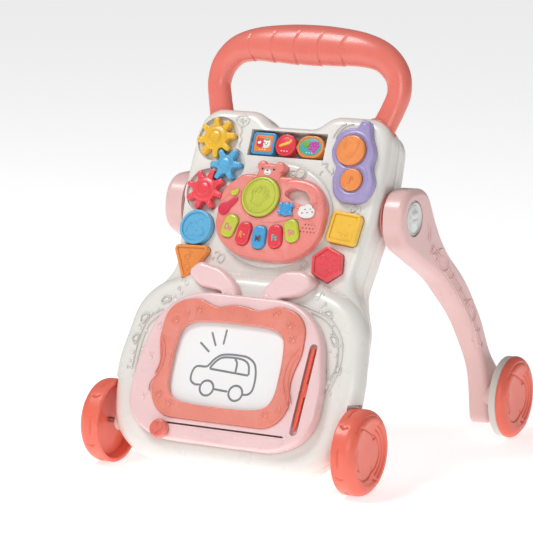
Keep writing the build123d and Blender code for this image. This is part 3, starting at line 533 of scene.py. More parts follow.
# ---------------------------------------------------------------- wheels
def wheel_piece(name, node, body, slot, profile, x_in, axle, side, face_cuts=(), rim_cuts=(), turns=360):
    """Turned wheel with shallow grooves: face cuts are (y, z) lines, rim cuts are (x, degrees) lines."""
    dense = [profile[0]]
    for (x0, r0), (x1, r1) in zip(profile, profile[1:]):
        count = max(1, int(hypot(x1 - x0, r1 - r0) / 0.75))
        dense += [(x0 + (x1 - x0) * k / count, r0 + (r1 - r0) * k / count) for k in range(1, count + 1)]
    prof = np.array(dense)
    tang = np.gradient(prof, axis=0)
    tang /= np.linalg.norm(tang, axis=1)[:, None] + 1e-9
    normal = np.stack([tang[:, 1], -tang[:, 0]], 1)
    middle = prof.mean(0)
    if ((prof - middle) * normal).sum() < 0:
        normal = -normal
    theta = np.linspace(0, tau, turns, endpoint=False)
    y = prof[:, 1][:, None] * np.cos(theta)[None]
    z = prof[:, 1][:, None] * np.sin(theta)[None]
    flat = (prof[:, 0] > prof[:, 0].max() * 0.5)[:, None]
    rim = (prof[:, 1] > prof[:, 1].max() - 1.5)[:, None]
    d = np.full(y.shape, 99.0)
    for cut in face_cuts:
        for p in smooth_line(cut, step=0.8):
            d = np.minimum(d, np.where(flat, np.hypot(y - p[0], z - p[1]), 99))
    for cut in rim_cuts:
        for p in smooth_line(cut, step=0.8):
            around = ((theta - radians(p[1]) + pi) % tau - pi) * prof[:, 1].max()
            d = np.minimum(d, np.where(rim, np.hypot(prof[:, 0][:, None] - p[0], around[None]), 99))
    depth = 1.3 * np.exp(-(d / 0.9) ** 2)
    x = side * (x_in + prof[:, 0][:, None] - normal[:, 0][:, None] * depth)
    r = np.maximum(0.01, prof[:, 1][:, None] - normal[:, 1][:, None] * depth)
    grid = np.stack([x, axle[0] + r * np.cos(theta)[None], axle[1] + r * np.sin(theta)[None]], -1) / 1000
    rows = len(prof)
    faces = []
    for i in range(rows):
        j = (i + 1) % rows
        for k in range(turns):
            l = (k + 1) % turns
            faces.append((i * turns + k, i * turns + l, j * turns + l, j * turns + k))
    mesh = bpy.data.meshes.new(name)
    mesh.from_pydata(grid.reshape(-1, 3).tolist(), [], faces)
    obj = bpy.data.objects.new(name, mesh)
    bpy.context.scene.collection.objects.link(obj)
    mesh.materials.append(MAT[slot])
    finish_piece(obj, body, 40)
    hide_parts(node)


def arc(r, start, end, cy=0.0, cz=0.0):
    return [(cy + r * cos(radians(start + (end - start) * k / 12)),
             cz + r * sin(radians(start + (end - start) * k / 12)))
            for k in range(13)]


def shoulder(x0, x1, r_rim, r_face, steps=14):
    return [(x0 + (x1 - x0) * sin(pi / 2 * k / steps), r_face + (r_rim - r_face) * cos(pi / 2 * k / steps))
            for k in range(steps + 1)]


def dished(t, drops):
    return [(t - drop, r) for r, drop in drops]


def wheels():
    """Wheels with three arcs beside the hub, hooked shoulder lines and short tread lines."""
    face = [arc(31, -62, 60), arc(26, -66, 64), arc(20.5, -72, 70)]
    face += [[(-22, 31), (-13, 28), (-5, 24.5), (2, 21), (6.5, 17.5), (8, 14), (12, 15)]]
    face += [[(5, -28), (13, -30), (17, -34), (16, -38.5), (9, -41.5)]]
    face += [[(-27, -20), (-18, -24), (-9, -25), (-1, -23), (4, -19), (4, -15)]]
    face += [[(-30, 27), (-20, 35), (-6, 39.5), (9, 38.5), (19, 33.5), (21, 28)]]
    face += [[(-36, 6), (-33, -6), (-26, -12), (-30, 2), (-29, 10)]]
    tread = []
    for k in range(5):
        tread.append([(8.5, 20 + 72 * k), (8.0, 32 + 72 * k), (8.4, 44 + 72 * k)])
        tread.append([(5, 60 + 72 * k), (9, 64 + 72 * k), (13, 62 + 72 * k)])
    r, t = 45.0, 25.0
    drops = [(33, 0.15), (32, 0.5), (30, 1.0), (24, 1.9), (16, 2.4), (8, 2.5), (0.4, 2.3)]
    front = [(0.4, r - 0.5), (1.2, r), *shoulder(t - 11.5, t, r, r - 11)] + dished(t, drops)
    front += [(12, 0.3), (12, 9), (12, r - 6), (1.5, r - 5), (0, r - 3.5), (0, r - 1.2)]
    r2, t2 = 46.0, 10.5
    rear = [(0.6, r2), *shoulder(1.0, t2, r2, r2 - 13)] + dished(t2, [(q, 0.8 * d) for q, d in drops])
    rear += [(t2 - 4.5, 0.3), (0, 0.3), (0, 20), (0, r2 - 0.6)]
    ring = [(3.5, 12.3), (3.5, 14), (3.5, r2 - 7), (0, r2 - 6), (0, r2 - 1.2), (0.3, r2 - 0.6), (1, r2 - 0.4),
            (7.8, r2 - 0.4),
            (8.5, r2 - 1.0), (8.5, 4.4), (0, 4.4), (0, 6.2), (0, 12.3)]
    for side, word in ((1, "right"), (-1, "left")):
        wheel_piece(f"{word}_front_tread_wheel", f"{word}_front_wheel", f"{word}_front_wheel_set",
                    "wheel_coral", front,
                    140.5, FRONT_AXLE, side, face, tread)
        wheel_piece(f"{word}_rear_disc_wheel", f"{word}_rear_wheel", f"{word}_rear_wheel_set", "wheel_coral",
                    rear,
                    176.5, REAR_AXLE, side, face)
        wheel_piece(f"{word}_rear_pale_ring", f"{word}_rear_ring", f"{word}_rear_wheel_set", "ring_white",
                    ring,
                    168.0, REAR_AXLE, side)


# ---------------------------------------------------------------- relief on the body
def note(shape, u, v, w, size=1.0, turn=0.0, flip=1):
    """Quaver: tilted head, stem and flag."""
    def at(x, y):
        x *= flip
        return (u + size * (x * cos(turn) - y * sin(turn)), v + size * (x * sin(turn) + y * cos(turn)))
    hu, hv = at(0, 0)
    shape.dome(hu, hv, w, 2.7 * size, 2.0 * size, 1.3, turn + 0.4)
    shape.ridge([at(2.2, 0.5), at(2.2, 9)], w, 1.25 * size, 1.0)
    shape.ridge([at(2.2, 9), at(4.2, 7.2), at(5.6, 5.0), at(5.0, 3.4)], w, 1.5 * size, 1.0)


def star(shape, u, v, w, r, turn=0.0, height=0.7):
    pts = []
    for k in range(10):
        q = turn + pi / 2 + tau * k / 10
        rr = r if k % 2 == 0 else r * 0.5
        pts.append((u + rr * cos(q), v + rr * sin(q)))
    shape.plate(pts, w - 0.5, w + height, 0.3, smooth=False)


def body_relief():
    shape = Shape("panel_relief", MAT["body_white"], "chassis", hug("front_shell"))
    def line(points, width=1.3, closed=False):
        shape.ridge(points, 0, width + 0.3, 1.5, closed=closed, sunk=0.5, step=0.9)

    # kite with a wavy string on the left ear
    line([(-70, 25), (-66, 29), (-59, 29), (-54, 24), (-58, 18), (-64, 17.5), (-69, 21)], 1.4, True)
    line([(-64, 17.5), (-60, 12), (-61.5, 7), (-58.5, 2), (-60, -3), (-58.5, -7)])
    line([(-67, 24), (-61, 22.5), (-57, 25)], 1.1)
    line([(-62.5, 27), (-62.8, 23.5), (-60.5, 19.5)], 1.0)
    # triple arc on the right ear
    line([(51.5, 10.5), (53.5, 17), (58, 24), (64.5, 28.5)])
    line([(55, 10), (57, 16.5), (61.5, 22.5), (67.5, 26.5), (73.5, 28)])
    line([(58.5, 9), (60.2, 14.5), (64, 19.5), (68, 22)], 1.0)
    # chick, flower, drop, bird and small shapes round the dock
    line(circle_points(15.5, -33.2, 3.9, 14), 1.2, True)
    line(circle_points(23.5, -31.6, 5.4, 16), 1.2, True)
    line([(17.5, -38), (23, -39.5), (29.0, -36.5), (31, -31), (29.5, -27.5)], 1.2)
    line([(14.2, -33), (15.5, -34.4), (16.8, -33)], 0.9)
    shape.dome(22, -30.4, 0, 0.9, 0.9, 0.8)
    shape.dome(25.4, -30.4, 0, 0.9, 0.9, 0.8)
    line([(-46, -45), (-47.5, -41), (-45.5, -37), (-43, -41), (-44, -45)], 1.1, True)
    line([(49, -16), (52, -19), (50, -22), (54, -25), (57, -28)])
    line([(50, -18.5), (46, -17.5), (44.5, -20)], 1.1)
    line([(58, -22), (60.5, -26), (57.5, -30)], 1.1)
    line([(48.5, -26), (45, -28.5), (46, -31.5)], 1.1)
    line([(90, -64.5), (93, -61.5), (96, -64.5), (93.5, -68), (90.5, -68)], 1.2, True)
    line([(96, -64), (100, -63), (101.5, -67)], 1.1)
    line([(98, -68), (101, -70.5)], 1.1)
    line([(-62, -127), (-58, -124.5), (-55, -128), (-57.5, -132.5)])
    line([(-55, -128), (-50.5, -127), (-48, -131), (-50, -136)])
    line([(-57.5, -132.5), (-53, -136), (-50, -136)])
    line([(-60.5, -131), (-63, -134.5)], 1.1)
    line(circle_points(48.5, -131, 4.2, 14), 1.2, True)
    line([(44.5, -135.5), (42.5, -139)], 1.1)
    shape.dome(48.5, -131, 0, 1.8, 1.8, 0.8)
    shape.done()


def belly_relief():
    """Staff lines with notes, clouds and animals in an arc on each side of the drawing board."""
    shape = Shape("belly_relief", MAT["body_white"], "chassis", hug("front_shell"))

    def line(points, width=1.8, height=1.8, closed=False):
        shape.ridge(points, 0, width, height, closed=closed, sunk=0.5)

    line([(-96.4, -199.3), (-107.3, -207.2), (-114.3, -216.2), (-117.3, -230.2), (-118.5, -245), (-119, -262),
          (-117, -274)])
    line([(-100, -196), (-111, -203.5), (-118, -213), (-121.5, -228), (-123, -246), (-123, -266)], 1.0)
    line([(57.4, -174.8), (75.3, -179.7), (97.2, -186.7), (114.2, -202.7), (121.1, -219.6), (122.1, -238.6),
          (117.2, -257.5),
          (113.2, -268.5)])
    line([(76, -183.5), (94.5, -190.5), (110, -205), (116.6, -220.5), (117.8, -238), (113.6, -254)], 1.0)
    rabbit(shape, -88.5, -187, 0.5)
    rabbit(shape, 112.5, -255, -0.35)
    note(shape, -79, -166, 0, 1.15, 0.35, -1)
    note(shape, -83, -177, 0, 0.9, 0.1, -1)
    note(shape, 79.5, -168, 0, 1.0, -0.15)
    note(shape, 86, -176.5, 0, 0.8, -0.5)
    for u, v, s, turn in ((-99.5, -186.5, 0.9, 0.4), (-121, -208.5, 0.95, 0.9), (-126.5, -232, 0.85, 1.3),
                          (97, -183.5, 0.8, -0.5), (109.5, -211, 0.95, -1.0), (120.5, -241, 0.8, -1.4)):
        cloud(shape, u, v, 0, s, turn)
    for u, v, r in ((-107.5, -198, 2.2), (-113.5, -203, 1.8), (-124.5, -220, 2.3), (-115, -222.5, 1.7),
                    (-115.5, -243, 2.2),
                    (-127, -247.5, 2.6), (-128, -257, 2.0), (104.5, -193, 1.9), (104.8, -202.5, 2.2),
                    (114.5, -226, 2.3),
                    (108, -222.5, 1.6), (109.8, -243.5, 2.0), (88, -182, 1.7)):
        shape.dome(u, v, 0, r, r * 0.85, 1.5, u * 0.05)
    for u, v, s, turn in ((-121, -220, 0.7, 0.7), (-123.5, -264, 0.75, 1.0), (115.5, -216, 0.7, -0.7),
                          (103, -197, 0.6, -0.3)):
        note(shape, u, v, 0, s, turn, -1 if u < 0 else 1)
    star(shape, -119.5, -271, 0, 3.0, 0.2)
    star(shape, 116.8, -266.5, 0, 2.8, -0.2)
    shape.done()


def cloud(shape, u, v, w, s=1.0, turn=0.0):
    pts = [(-6, -2.4), (-6.4, 0.6), (-4, 2.4), (-2.4, 4.6), (0.8, 4.9), (3.0, 3.2), (5.4, 2.6), (6.4, 0),
           (5, -2.6), (1, -3.0), (-3, -3.0)]
    moved = [(u + s * (x * cos(turn) - y * sin(turn)), v + s * (x * sin(turn) + y * cos(turn))) for x,
             y in pts]
    shape.ridge(moved, w, 1.5, 1.9, closed=True, sunk=0.5, step=0.8)
    shape.dome(u, v, w - 0.3, 4.2 * s, 2.4 * s, 1.4, turn)


def rabbit(shape, u, v, turn=0.0):
    def at(x, y):
        return (u + x * cos(turn) - y * sin(turn), v + x * sin(turn) + y * cos(turn))
    shape.dome(*at(0, 0), 0, 3.6, 3.0, 1.3, turn)
    shape.dome(*at(0, -5), 0, 2.8, 3.4, 1.2, turn)
    for x in (-1.6, 1.6):
        shape.dome(*at(x, 5), 0, 1.0, 3.0, 0.9, turn - 0.12 * x)


# ---------------------------------------------------------------- drawing board
def paw(shape, u, v, w, s=1.0, turn=0.0):
    shape.dome(u, v, w, 2.6 * s, 2.1 * s, 1.1, turn)
    for q in (-0.95, -0.32, 0.32, 0.95):
        r = 4.1 * s
        a = turn + pi / 2 + q
        shape.dome(u + r * cos(a), v + r * sin(a), w, 1.0 * s, 1.45 * s, 0.95, a - pi / 2)


def board_details():
    w = 30.4
    shape = Shape("bezel_relief", MAT["bezel_coral"], "drawing_board")
    for u, v, t in ((-72.2, -213.2, 0.5), (-46.5, -198.8, 0.1), (45.6, -195.3, 0.3), (64.3, -206.3, 0.0),
                    (71, -220.7, 0.5),
                    (-73.8, -294.5, 0.2), (-59.8, -303.1, -0.2), (57.3, -302.8, 0.4)):
        paw(shape, u, v, w - 0.15, 1.3, t)
    shape.dome(-60.8, -203.1, w, 3.2, 5.6, 0.8, -0.1)
    shape.dome(-60.2, -202.6, w + 0.4, 1.6, 3.4, 0.7, -0.1)
    shape.dome(70.7, -294.8, w, 3.0, 5.0, 0.8, -0.25)
    shape.dome(71.1, -294.4, w + 0.4, 1.5, 3.0, 0.7, -0.25)
    for line in ([(-86, -228), (-79, -240), (-76.5, -254), (-79.5, -268), (-87, -281), (-86.5, -290)],
                 [(-85.3, -236), (-81.6, -246), (-80.8, -259), (-84, -271)],
                 [(81, -225), (73, -237), (69.5, -250), (70, -264), (75.5, -279), (82, -291)],
                 [(81.5, -233), (76.2, -244), (74.6, -257), (77, -271), (82.5, -284)]):
        shape.ridge(line, w - 0.1, 1.4, 0.95)
    shape.done()

    shape = Shape("screen_lip", MAT["bezel_coral"], "drawing_board")
    lip = [(-2, -206.2), (28, -206.8), (48, -209.5), (59.5, -218), (63.2, -234), (64, -256), (62.5, -280),
           (54, -293.5),
           (34, -298.3), (-2, -299.4), (-38, -298.3), (-58, -293.5), (-66.5, -280), (-68, -256),
           (-67.2, -234), (-63.5, -218),
           (-52, -209.5), (-32, -206.8)]
    shape.ridge(lip, 29.6, 2.2, 1.2, closed=True, sunk=3.0)
    shape.done()

    shape = Shape("frame_relief", MAT["board_pink"], "drawing_board")
    for u, v, t in ((-91.8, -219.9, 0.5), (-94.8, -253.6, 0.1), (-93.5, -297.5, -0.2)):
        shape.dome(u, v, 27.9, 2.5, 2.2, 1.1, t)
        for q in (-0.42, 0.42):
            a = t + pi / 2 + q
            shape.dome(u + 4.2 * cos(a), v + 4.2 * sin(a), 27.9, 1.1, 2.7, 0.95, a - pi / 2)
    shape.plate([(-50, -323.8), (83, -323.2), (79, -331.2), (62, -334.6), (20, -335.4), (-40, -335.0),
                 (-56, -333.4)],
                27.4, 28.14, 0.1, smooth=False)
    for k in range(4):
        dv = -325.8 - 2.4 * k
        shape.ridge([(-49 + k, dv), (10, dv), (76 - 3 * k, dv + 0.4)], 28.0, 0.9, 0.24, step=4)
    shape.dome(84.5, -320.5, 27.9, 1.6, 1.6, 0.8)
    shape.done()

    ears = Shape("ear_relief", MAT["board_pink"], "drawing_board")
    for turn, u, v in ((0.5, -20, -177), (-0.45, 27, -178)):
        for k in (-1, 0, 1):
            ears.ridge([(u + 4.4 * k - 3.4 * sin(turn), v + 3.4 * cos(turn)), (u + 4.0 * k + 3.4 * sin(turn),
                                                                               v - 3.4 * cos(turn))],
                       26.3, 1.8, 1.3)
        ears.dome(u - 2.4 * sin(turn), v + 4.6 * cos(turn), 26.2, 6.6, 1.6, 1.2, turn)
    ears.done()

    drawing = Shape("car_drawing", INK["ink_grey"], "drawing_board")
    z = 24.8
    def line(points, closed=False, step=0.8, smooth=True):
        drawing.ridge(points, z, 2.7, 0.25, closed=closed, sunk=0.1, step=step, smooth=smooth)
    line([(-30, -275.5), (-36.5, -275.8), (-42, -272.5), (-43.2, -266.5), (-41.5, -259.5), (-37.5, -256.2),
          (-28, -255.8),
          (-24.5, -253.5), (-19.5, -247), (-13, -242.2), (-4, -240.2), (12, -240), (21, -241.5),
          (28.5, -246.5), (32, -254),
          (33.5, -264), (33, -274), (30, -279), (26, -280.6), (21.4, -280.8)])
    line([(-13.2, -278.6), (4.5, -279.6)])
    line([(-23.2, -257.5), (-17.5, -249.5), (-11, -244.6), (-3, -243.2), (9, -243.2), (17, -244.8),
          (22.5, -249.5), (25, -260)])
    line([(25, -260), (14, -259.5), (-6, -258.4), (-23.2, -257.5)])
    line([(4.4, -243.6), (8.2, -248.5), (8.6, -259)])
    for u, v in ((-21.6, -278.4), (13.7, -280.3)):
        drawing.ridge(circle_points(u, v, 8.1, 28), z, 2.7, 0.25, closed=True, sunk=0.1, step=0.8)
    for a, b in (((-41.1, -230.1), (-27, -240.2)), ((-29.3, -217.7), (-21, -233.2)),
                 ((-12, -213.3), (-12.6, -230.8))):
        line([a, b])
    drawing.done()

    knob = Shape("knob_heart", MAT["coral_handle"], "eraser_slider")
    cu, cv = -64.0, -328.6
    heart = [(cu + 0.42 * 16 * sin(t) ** 3,
              cv + 0.5 + 0.42 * (13 * cos(t) - 5 * cos(2 * t) - 2 * cos(3 * t) - cos(4 * t)))
             for t in [tau * k / 40 for k in range(40)]]
    knob.plate(heart, 35.6, 36.9, 0.5, smooth=False)
    knob.ridge(circle_points(cu, cv, 8.6, 30), 35.2, 1.0, 0.5, closed=True)
    knob.done()

    clip = Shape("pen_clip", MAT["pen_red"], "drawing_pen")
    clip.plate([(96.2, -262), (97.6, -262.5), (97.2, -276), (95.2, -276.5)], 26.4, 29.2, 0.5, smooth=False)
    clip.ridge([(95.3, -226), (94.9, -240), (94.4, -256)], 28.4, 1.4, 0.6)
    clip.dome(94.9, -227.5, 28.2, 0.9, 0.9, 0.7)
    clip.done()


# ---------------------------------------------------------------- piano
def piano_details():
    w = 15.0
    shape = Shape("piano_relief", MAT["piano_pink"], "piano")
    shape.ridge([(-58.5, -72), (-50, -64), (-38, -58.5), (-36, -66), (-31, -78), (-20.5, -87), (-5.5, -90.8),
                 (12, -90.3),
                 (28, -86), (41, -84.5), (54, -88), (62, -93)], w - 0.15, 1.6, 0.8)
    shape.ridge(circle_points(-10.8, -64.2, 24.0, 40), w - 0.1, 1.5, 0.8, closed=True)
    loop = [(13.5, -48.0), (19, -46.6), (27, -45.4), (38, -46.2), (49, -49.6), (57, -56.5), (60.5, -65),
            (60.5, -74)]
    shape.ridge(loop, w - 1.2, 9.5, 2.9, sunk=0.2)
    shape.ridge([(32, -71.4), (40, -73.4), (50, -70.5), (56.5, -64)], w - 0.3, 2.4, 1.3)
    for i in range(3):
        for k in range(3 + i):
            shape.dome(48.5 + 4 * k - 2 * i, -90 - 4 * i, w - 1.5, 0.88, 0.88, 1.0, sunk=0.3, ring=12)
    shape.done()

    face = Shape("bear_muzzle", INK["ink_white"], "piano")
    face.dome(-8.8, -36.4, 16.3, 4.6, 3.6, 1.6)
    face.done()
    dark = Shape("bear_eyes", INK["ink_dark"], "piano")
    for u in (-15.6, -1.6):
        dark.dome(u, -32.9, 16.4, 1.45, 1.6, 0.6)
    dark.dome(-8.8, -34.9, 17.6, 1.4, 1.0, 0.6)
    dark.ridge([(-10.6, -37.6), (-9.7, -38.5), (-8.8, -37.5), (-7.9, -38.5), (-7, -37.6)], 17.5, 0.5, 0.3,
               step=0.4)
    dark.ridge([(44.4, -75.0), (45.3, -74.0), (46.2, -75.0)], 16.8, 0.6, 0.3, step=0.4)
    dark.ridge([(50.6, -74.0), (51.5, -73.0), (52.4, -74.0)], 16.8, 0.6, 0.3, step=0.4)
    dark.ridge([(47.2, -77.0), (48.4, -77.9), (49.6, -76.6)], 16.8, 0.6, 0.3, step=0.4)
    dark.done()
    glint = Shape("eye_glints", INK["ink_white"], "piano")
    for u in (-15.1, -1.1):
        glint.dome(u, -32.3, 16.95, 0.45, 0.45, 0.25)
    glint.done()
    cheek = Shape("cloud_cheeks", INK["ink_pink"], "piano")
    for u, v in ((42.6, -78.4), (54.4, -76.4)):
        cheek.dome(u, v, 16.7, 1.3, 1.0, 0.4)
    cheek.done()
    trim = Shape("pear_trim", MAT["key_lime"], "piano")
    trim.plate([(-41, -57), (-39, -59), (-39.5, -62), (-42, -64.5), (-45.5, -65), (-48, -63), (-47.5, -60),
                (-44, -58.8)], 14.6, 16.6, 0.6)
    trim.ridge([(-41, -57.5), (-39.2, -55.4)], 15.2, 1.0, 0.8)
    trim.done()
    trim = Shape("guitar_trim", INK["ink_red"], "piano")
    trim.plate([(-40.5, -66), (-38.2, -68.5), (-41, -74), (-45, -78.5), (-47, -83.5), (-52, -87.5),
                (-58, -85), (-59.5, -79),
                (-56, -74.5), (-50.5, -73), (-45, -69)], 14.6, 16.8, 0.7)
    trim.done()
    trim = Shape("trim_lines", INK["ink_dark"], "piano")
    trim.dome(-52, -78.6, 16.3, 1.0, 1.0, 0.4)
    trim.done()

    drum = Shape("drum_relief", MAT["drum_lime"], "drum")
    cu, cv, top = -10.8, -64.2, 18.2
    drum.ridge(circle_points(cu, cv, 17.6, 40), top, 1.2, 0.6, closed=True)
    hand = [(-6, -9), (-7.5, -3.5), (-10.5, 0.5), (-9.6, 2.6), (-6.4, 0.8), (-6.8, 6), (-5.0, 8.2), (-3.6, 6),
            (-3.2, 2.2),
            (-2.4, 8.6), (-0.4, 10.2), (1.0, 8.2), (1.0, 2.4), (2.8, 7.8), (4.8, 8.6), (5.6, 6.2), (4.4, 1.4),
            (6.8, 4.8),
            (8.6, 4.4), (8.2, 1.8), (5.4, -2.6), (4.6, -7), (1.0, -10.2), (-3.4, -10.4)]
    drum.ridge([(cu + 1.12 * (0.93 * x + 0.36 * y), cv + 1.12 * (0.93 * y - 0.36 * x)) for x, y in hand], top,
               1.3, 0.8,
               closed=True, step=0.7)
    drum.done()

    keys = [(-41.0, -99.0, -14.0), (-22.3, -106.0, -7.0), (-2.8, -108.6, 4.0), (16.2, -106.2, 10.0),
            (34.4, -98.6, 20.0)]
    words = ["Do", "Re", "Mi", "Fa", "So"]
    inks = ["ink_pink", "ink_orange", "ink_dark", "ink_teal", "ink_pink"]
    slots = ["key_lime", "key_red", "key_blue", "key_red", "key_lime"]
    for k, ((u, v, turn), word) in enumerate(zip(keys, words)):
        q = radians(turn)
        name = Shape(f"key_note_{k + 1}", INK[inks[k]], f"key_{k + 1}")
        name.text(word, u + 2.2 * sin(q), v - 2.2 * cos(q), 18.25, 9.4, q, 0.35, 0.3, 0.8)
        name.done()
        mark = Shape(f"key_mark_{k + 1}", MAT[slots[k]], f"key_{k + 1}")
        mu, mv = u - 7.5 * sin(q), v + 7.5 * cos(q)
        mark.ridge(circle_points(mu, mv, 2.4, 14), 18.1, 0.8, 0.45, closed=True, step=0.6)
        mark.done()

    bear = Shape("paw_relief", MAT["key_blue"], "paw")
    bear.ridge(circle_points(22, -75.5, 4.6, 20), 17.5, 0.9, 0.5, closed=True, step=0.7)
    for u in (20.4, 23.6):
        bear.dome(u, -74.6, 17.5, 0.7, 0.7, 0.4)
    bear.ridge([(20.6, -77.2), (22, -78), (23.4, -77.2)], 17.5, 0.7, 0.4, step=0.5)
    for du, dv in ((-6.3, 4.6), (6.3, 4.6), (-6.6, -4.2), (6.6, -4.2)):
        bear.dome(22 + du, -75.5 + dv, 17.5, 2.6, 2.4, 0.9, sunk=0.12)
    bear.done()


# ---------------------------------------------------------------- gears, blocks, buttons
def gear_outline(u, v, teeth, outer, root, turn):
    pts = []
    for k in range(teeth):
        mid = radians(turn + 360 / teeth * k)
        for across, along in ((-3.75, root - 1.2), (-3.3, root + 1.6), (-2.95, outer - 2.2),
                              (-2.2, outer - 0.5), (-0.9, outer),
                              (0.9, outer), (2.2, outer - 0.5), (2.95, outer - 2.2), (3.3, root + 1.6),
                              (3.75, root - 1.2)):
            pts.append((u + along * cos(mid) - across * sin(mid), v + along * sin(mid) + across * cos(mid)))
    return pts


def meshed_turn(a, b, turn):
    line = degrees(atan2(b[1] - a[1], b[0] - a[0]))
    return line + 180 - (turn - line) * a[2] / b[2] + 180 / b[2]


def gears():
    """Chunky gears with rounded teeth, a soft raised middle and a small face."""
    yellow, blue, red = (-88, 1.4, 8, 23, 15), (-69, -28.2, 6, 18.8, 11.2), (-88, -57.8, 8, 23, 15)
    first = -34.8
    second = meshed_turn(yellow, blue, first)
    third = meshed_turn(blue, red, second)
    for name, gear, turn in (("yellow_gear", yellow, first), ("blue_gear", blue, second),
                             ("red_gear", red, third)):
        u, v, teeth, outer, root = gear
        slot = "gear_" + name.split("_")[0]
        shape = Shape(f"{name}_soft", MAT[slot], f"{name}_body")
        shape.plate(gear_outline(u, v, teeth, outer, root, turn), -3.4, 6.0, 1.3, smooth=False)
        shape.dome(u, v, 5.6, root * 0.92, root * 0.92, 2.0, power=2.4, ring=40)
        shape.dome(u, v, 6.2, 8.6, 8.6, 2.9, power=2.6, ring=40)
        for k in range(teeth):
            q = radians(turn + 360 / teeth * k)
            r = (outer + root) / 2 - 0.6
            shape.dome(u + r * cos(q), v + r * sin(q), 5.6, 3.2, 1.7, 0.9, q, ring=20)
        obj = shape.done(55)
        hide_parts(name)


def toy_details():
    domes = {"yellow_gear": (-88, 1.4, "gear_yellow"), "blue_gear": (-69, -28.2, "gear_blue"),
             "red_gear": (-88, -57.8, "gear_red")}
    for n, (u, v, slot) in domes.items():
        shape = Shape(f"{n}_relief", MAT[slot], f"{n}_body")
        shape.ridge(circle_points(u, v, 6.6, 24), 8.2, 0.9, 0.8, closed=True, step=0.8)
        for du in (-2.4, 2.4):
            shape.dome(u + du, v + 1.4, 8.6, 0.8, 1.0, 0.8)
        shape.ridge([(u - 2.8, v - 1.6), (u, v - 3.2), (u + 2.8, v - 1.6)], 8.7, 0.9, 0.7, step=0.6)
        if n == "red_gear":
            shape.ridge([(u - 6, v - 9.6), (u, v - 11.4), (u + 6, v - 9.6)], 6.2, 1.0, 0.9)
            shape.ridge([(u - 9.8, v + 5), (u - 6.5, v + 9), (u - 2, v + 11)], 6.2, 1.0, 0.9)
        if n == "yellow_gear":
            shape.ridge([(u - 7, v + 8.6), (u - 1, v + 11.2), (u + 5, v + 9.8)], 6.2, 1.0, 0.9)
            shape.ridge([(u + 3, v - 10.8), (u + 8.6, v - 7)], 6.2, 1.0, 0.9)
        shape.done()

    block = Shape("circle_block_relief", MAT["block_blue"], "circle_block_body")
    w = 6.3
    block.ridge([(-99, -107), (-96, -98), (-91, -95.5), (-87, -99), (-80, -102), (-77.5, -108), (-84, -111),
                 (-94, -110.5)], w, 1.1, 0.7, closed=True)
    block.dome(-93, -101.5, w, 0.9, 1.0, 0.6)
    block.ridge([(-89.5, -104.6), (-87.4, -106), (-85.6, -104.4)], w, 0.9, 0.6, step=0.6)
    block.ridge([(-86, -94), (-82.5, -91.5), (-80, -95)], w, 1.0, 0.6)
    block.done()
    block = Shape("triangle_block_relief", MAT["block_orange"], "triangle_block_body")
    block.ridge([(-94, -127), (-89, -129), (-86.5, -134), (-90, -138.5), (-88.5, -144)], w, 1.1, 0.7)
    block.ridge([(-84, -127.5), (-88, -132), (-93, -134), (-92, -140), (-86, -141.5)], w, 1.1, 0.7)
    block.ridge(circle_points(-88.4, -146.3, 3.2, 16), w, 1.0, 0.6, closed=True)
    block.done()
    block = Shape("square_block_relief", MAT["block_yellow"], "square_block_body")
    block.dome(84.5, -83.5, w, 1.2, 1.4, 0.7)
    block.dome(95.5, -84.5, w, 1.2, 1.4, 0.7)
    block.ridge([(84, -92), (87, -95.5), (92, -96), (96, -93)], w, 1.2, 0.7)
    block.ridge([(82, -90), (83.4, -92.4)], w, 1.0, 0.6)
    block.done()
    block = Shape("hexagon_block_relief", MAT["block_red"], "hexagon_block_body")
    block.ridge([(69, -124), (71, -120.5), (75, -121), (77, -124.5), (81, -126), (84.5, -123), (88, -126)], w,
                1.1, 0.7)
    block.ridge([(74, -137), (79, -133.5), (80, -138), (85, -134.5)], w, 1.1, 0.7)
    block.dome(73.5, -129, w, 1.1, 1.1, 0.6)
    block.dome(85, -129.5, w, 1.1, 1.1, 0.6)
    block.done()

    big = Shape("big_button_relief", MAT["button_orange"], "big_button")
    big.ridge(circle_points(81.2, -4.0, 14.2, 36), 12.35, 1.0, 0.5, closed=True)
    for arc_line in ([(-9.6, 0.6), (-8.3, 6.6), (-3.2, 9.8)], [(-7.2, -0.6), (-5.9, 4.6), (-1.6, 7.4)],
                     [(6.6, 10.6), (8.6, 6.0), (6.8, -1.3), (3.6, -6.0), (-0.4, -8.2), (-3.4, -7.4)]):
        big.ridge([(81.2 + x, -4 + y) for x, y in arc_line], 12.35, 1.2, 0.8)
    big.done()
    small = Shape("small_button_relief", MAT["button_orange"], "small_button")
    small.ridge(circle_points(88.4, -36, 10.2, 30), 11.65, 0.9, 0.5, closed=True)
    note(small, 86.6, -39.5, 11.7, 0.75)
    small.done()
    pad = Shape("pad_relief", MAT["pad_purple"], "chassis")
    pad.ridge(circle_points(81.2, -4.0, 20.4, 48), 7.5, 6.0, 1.1, closed=True)
    pad.ridge(circle_points(88.4, -36, 16.2, 40), 7.5, 6.0, 1.1, closed=True)
    pad.dome(90.2, 24.8, 7.4, 4.6, 4.4, 2.0)
    pad.done()


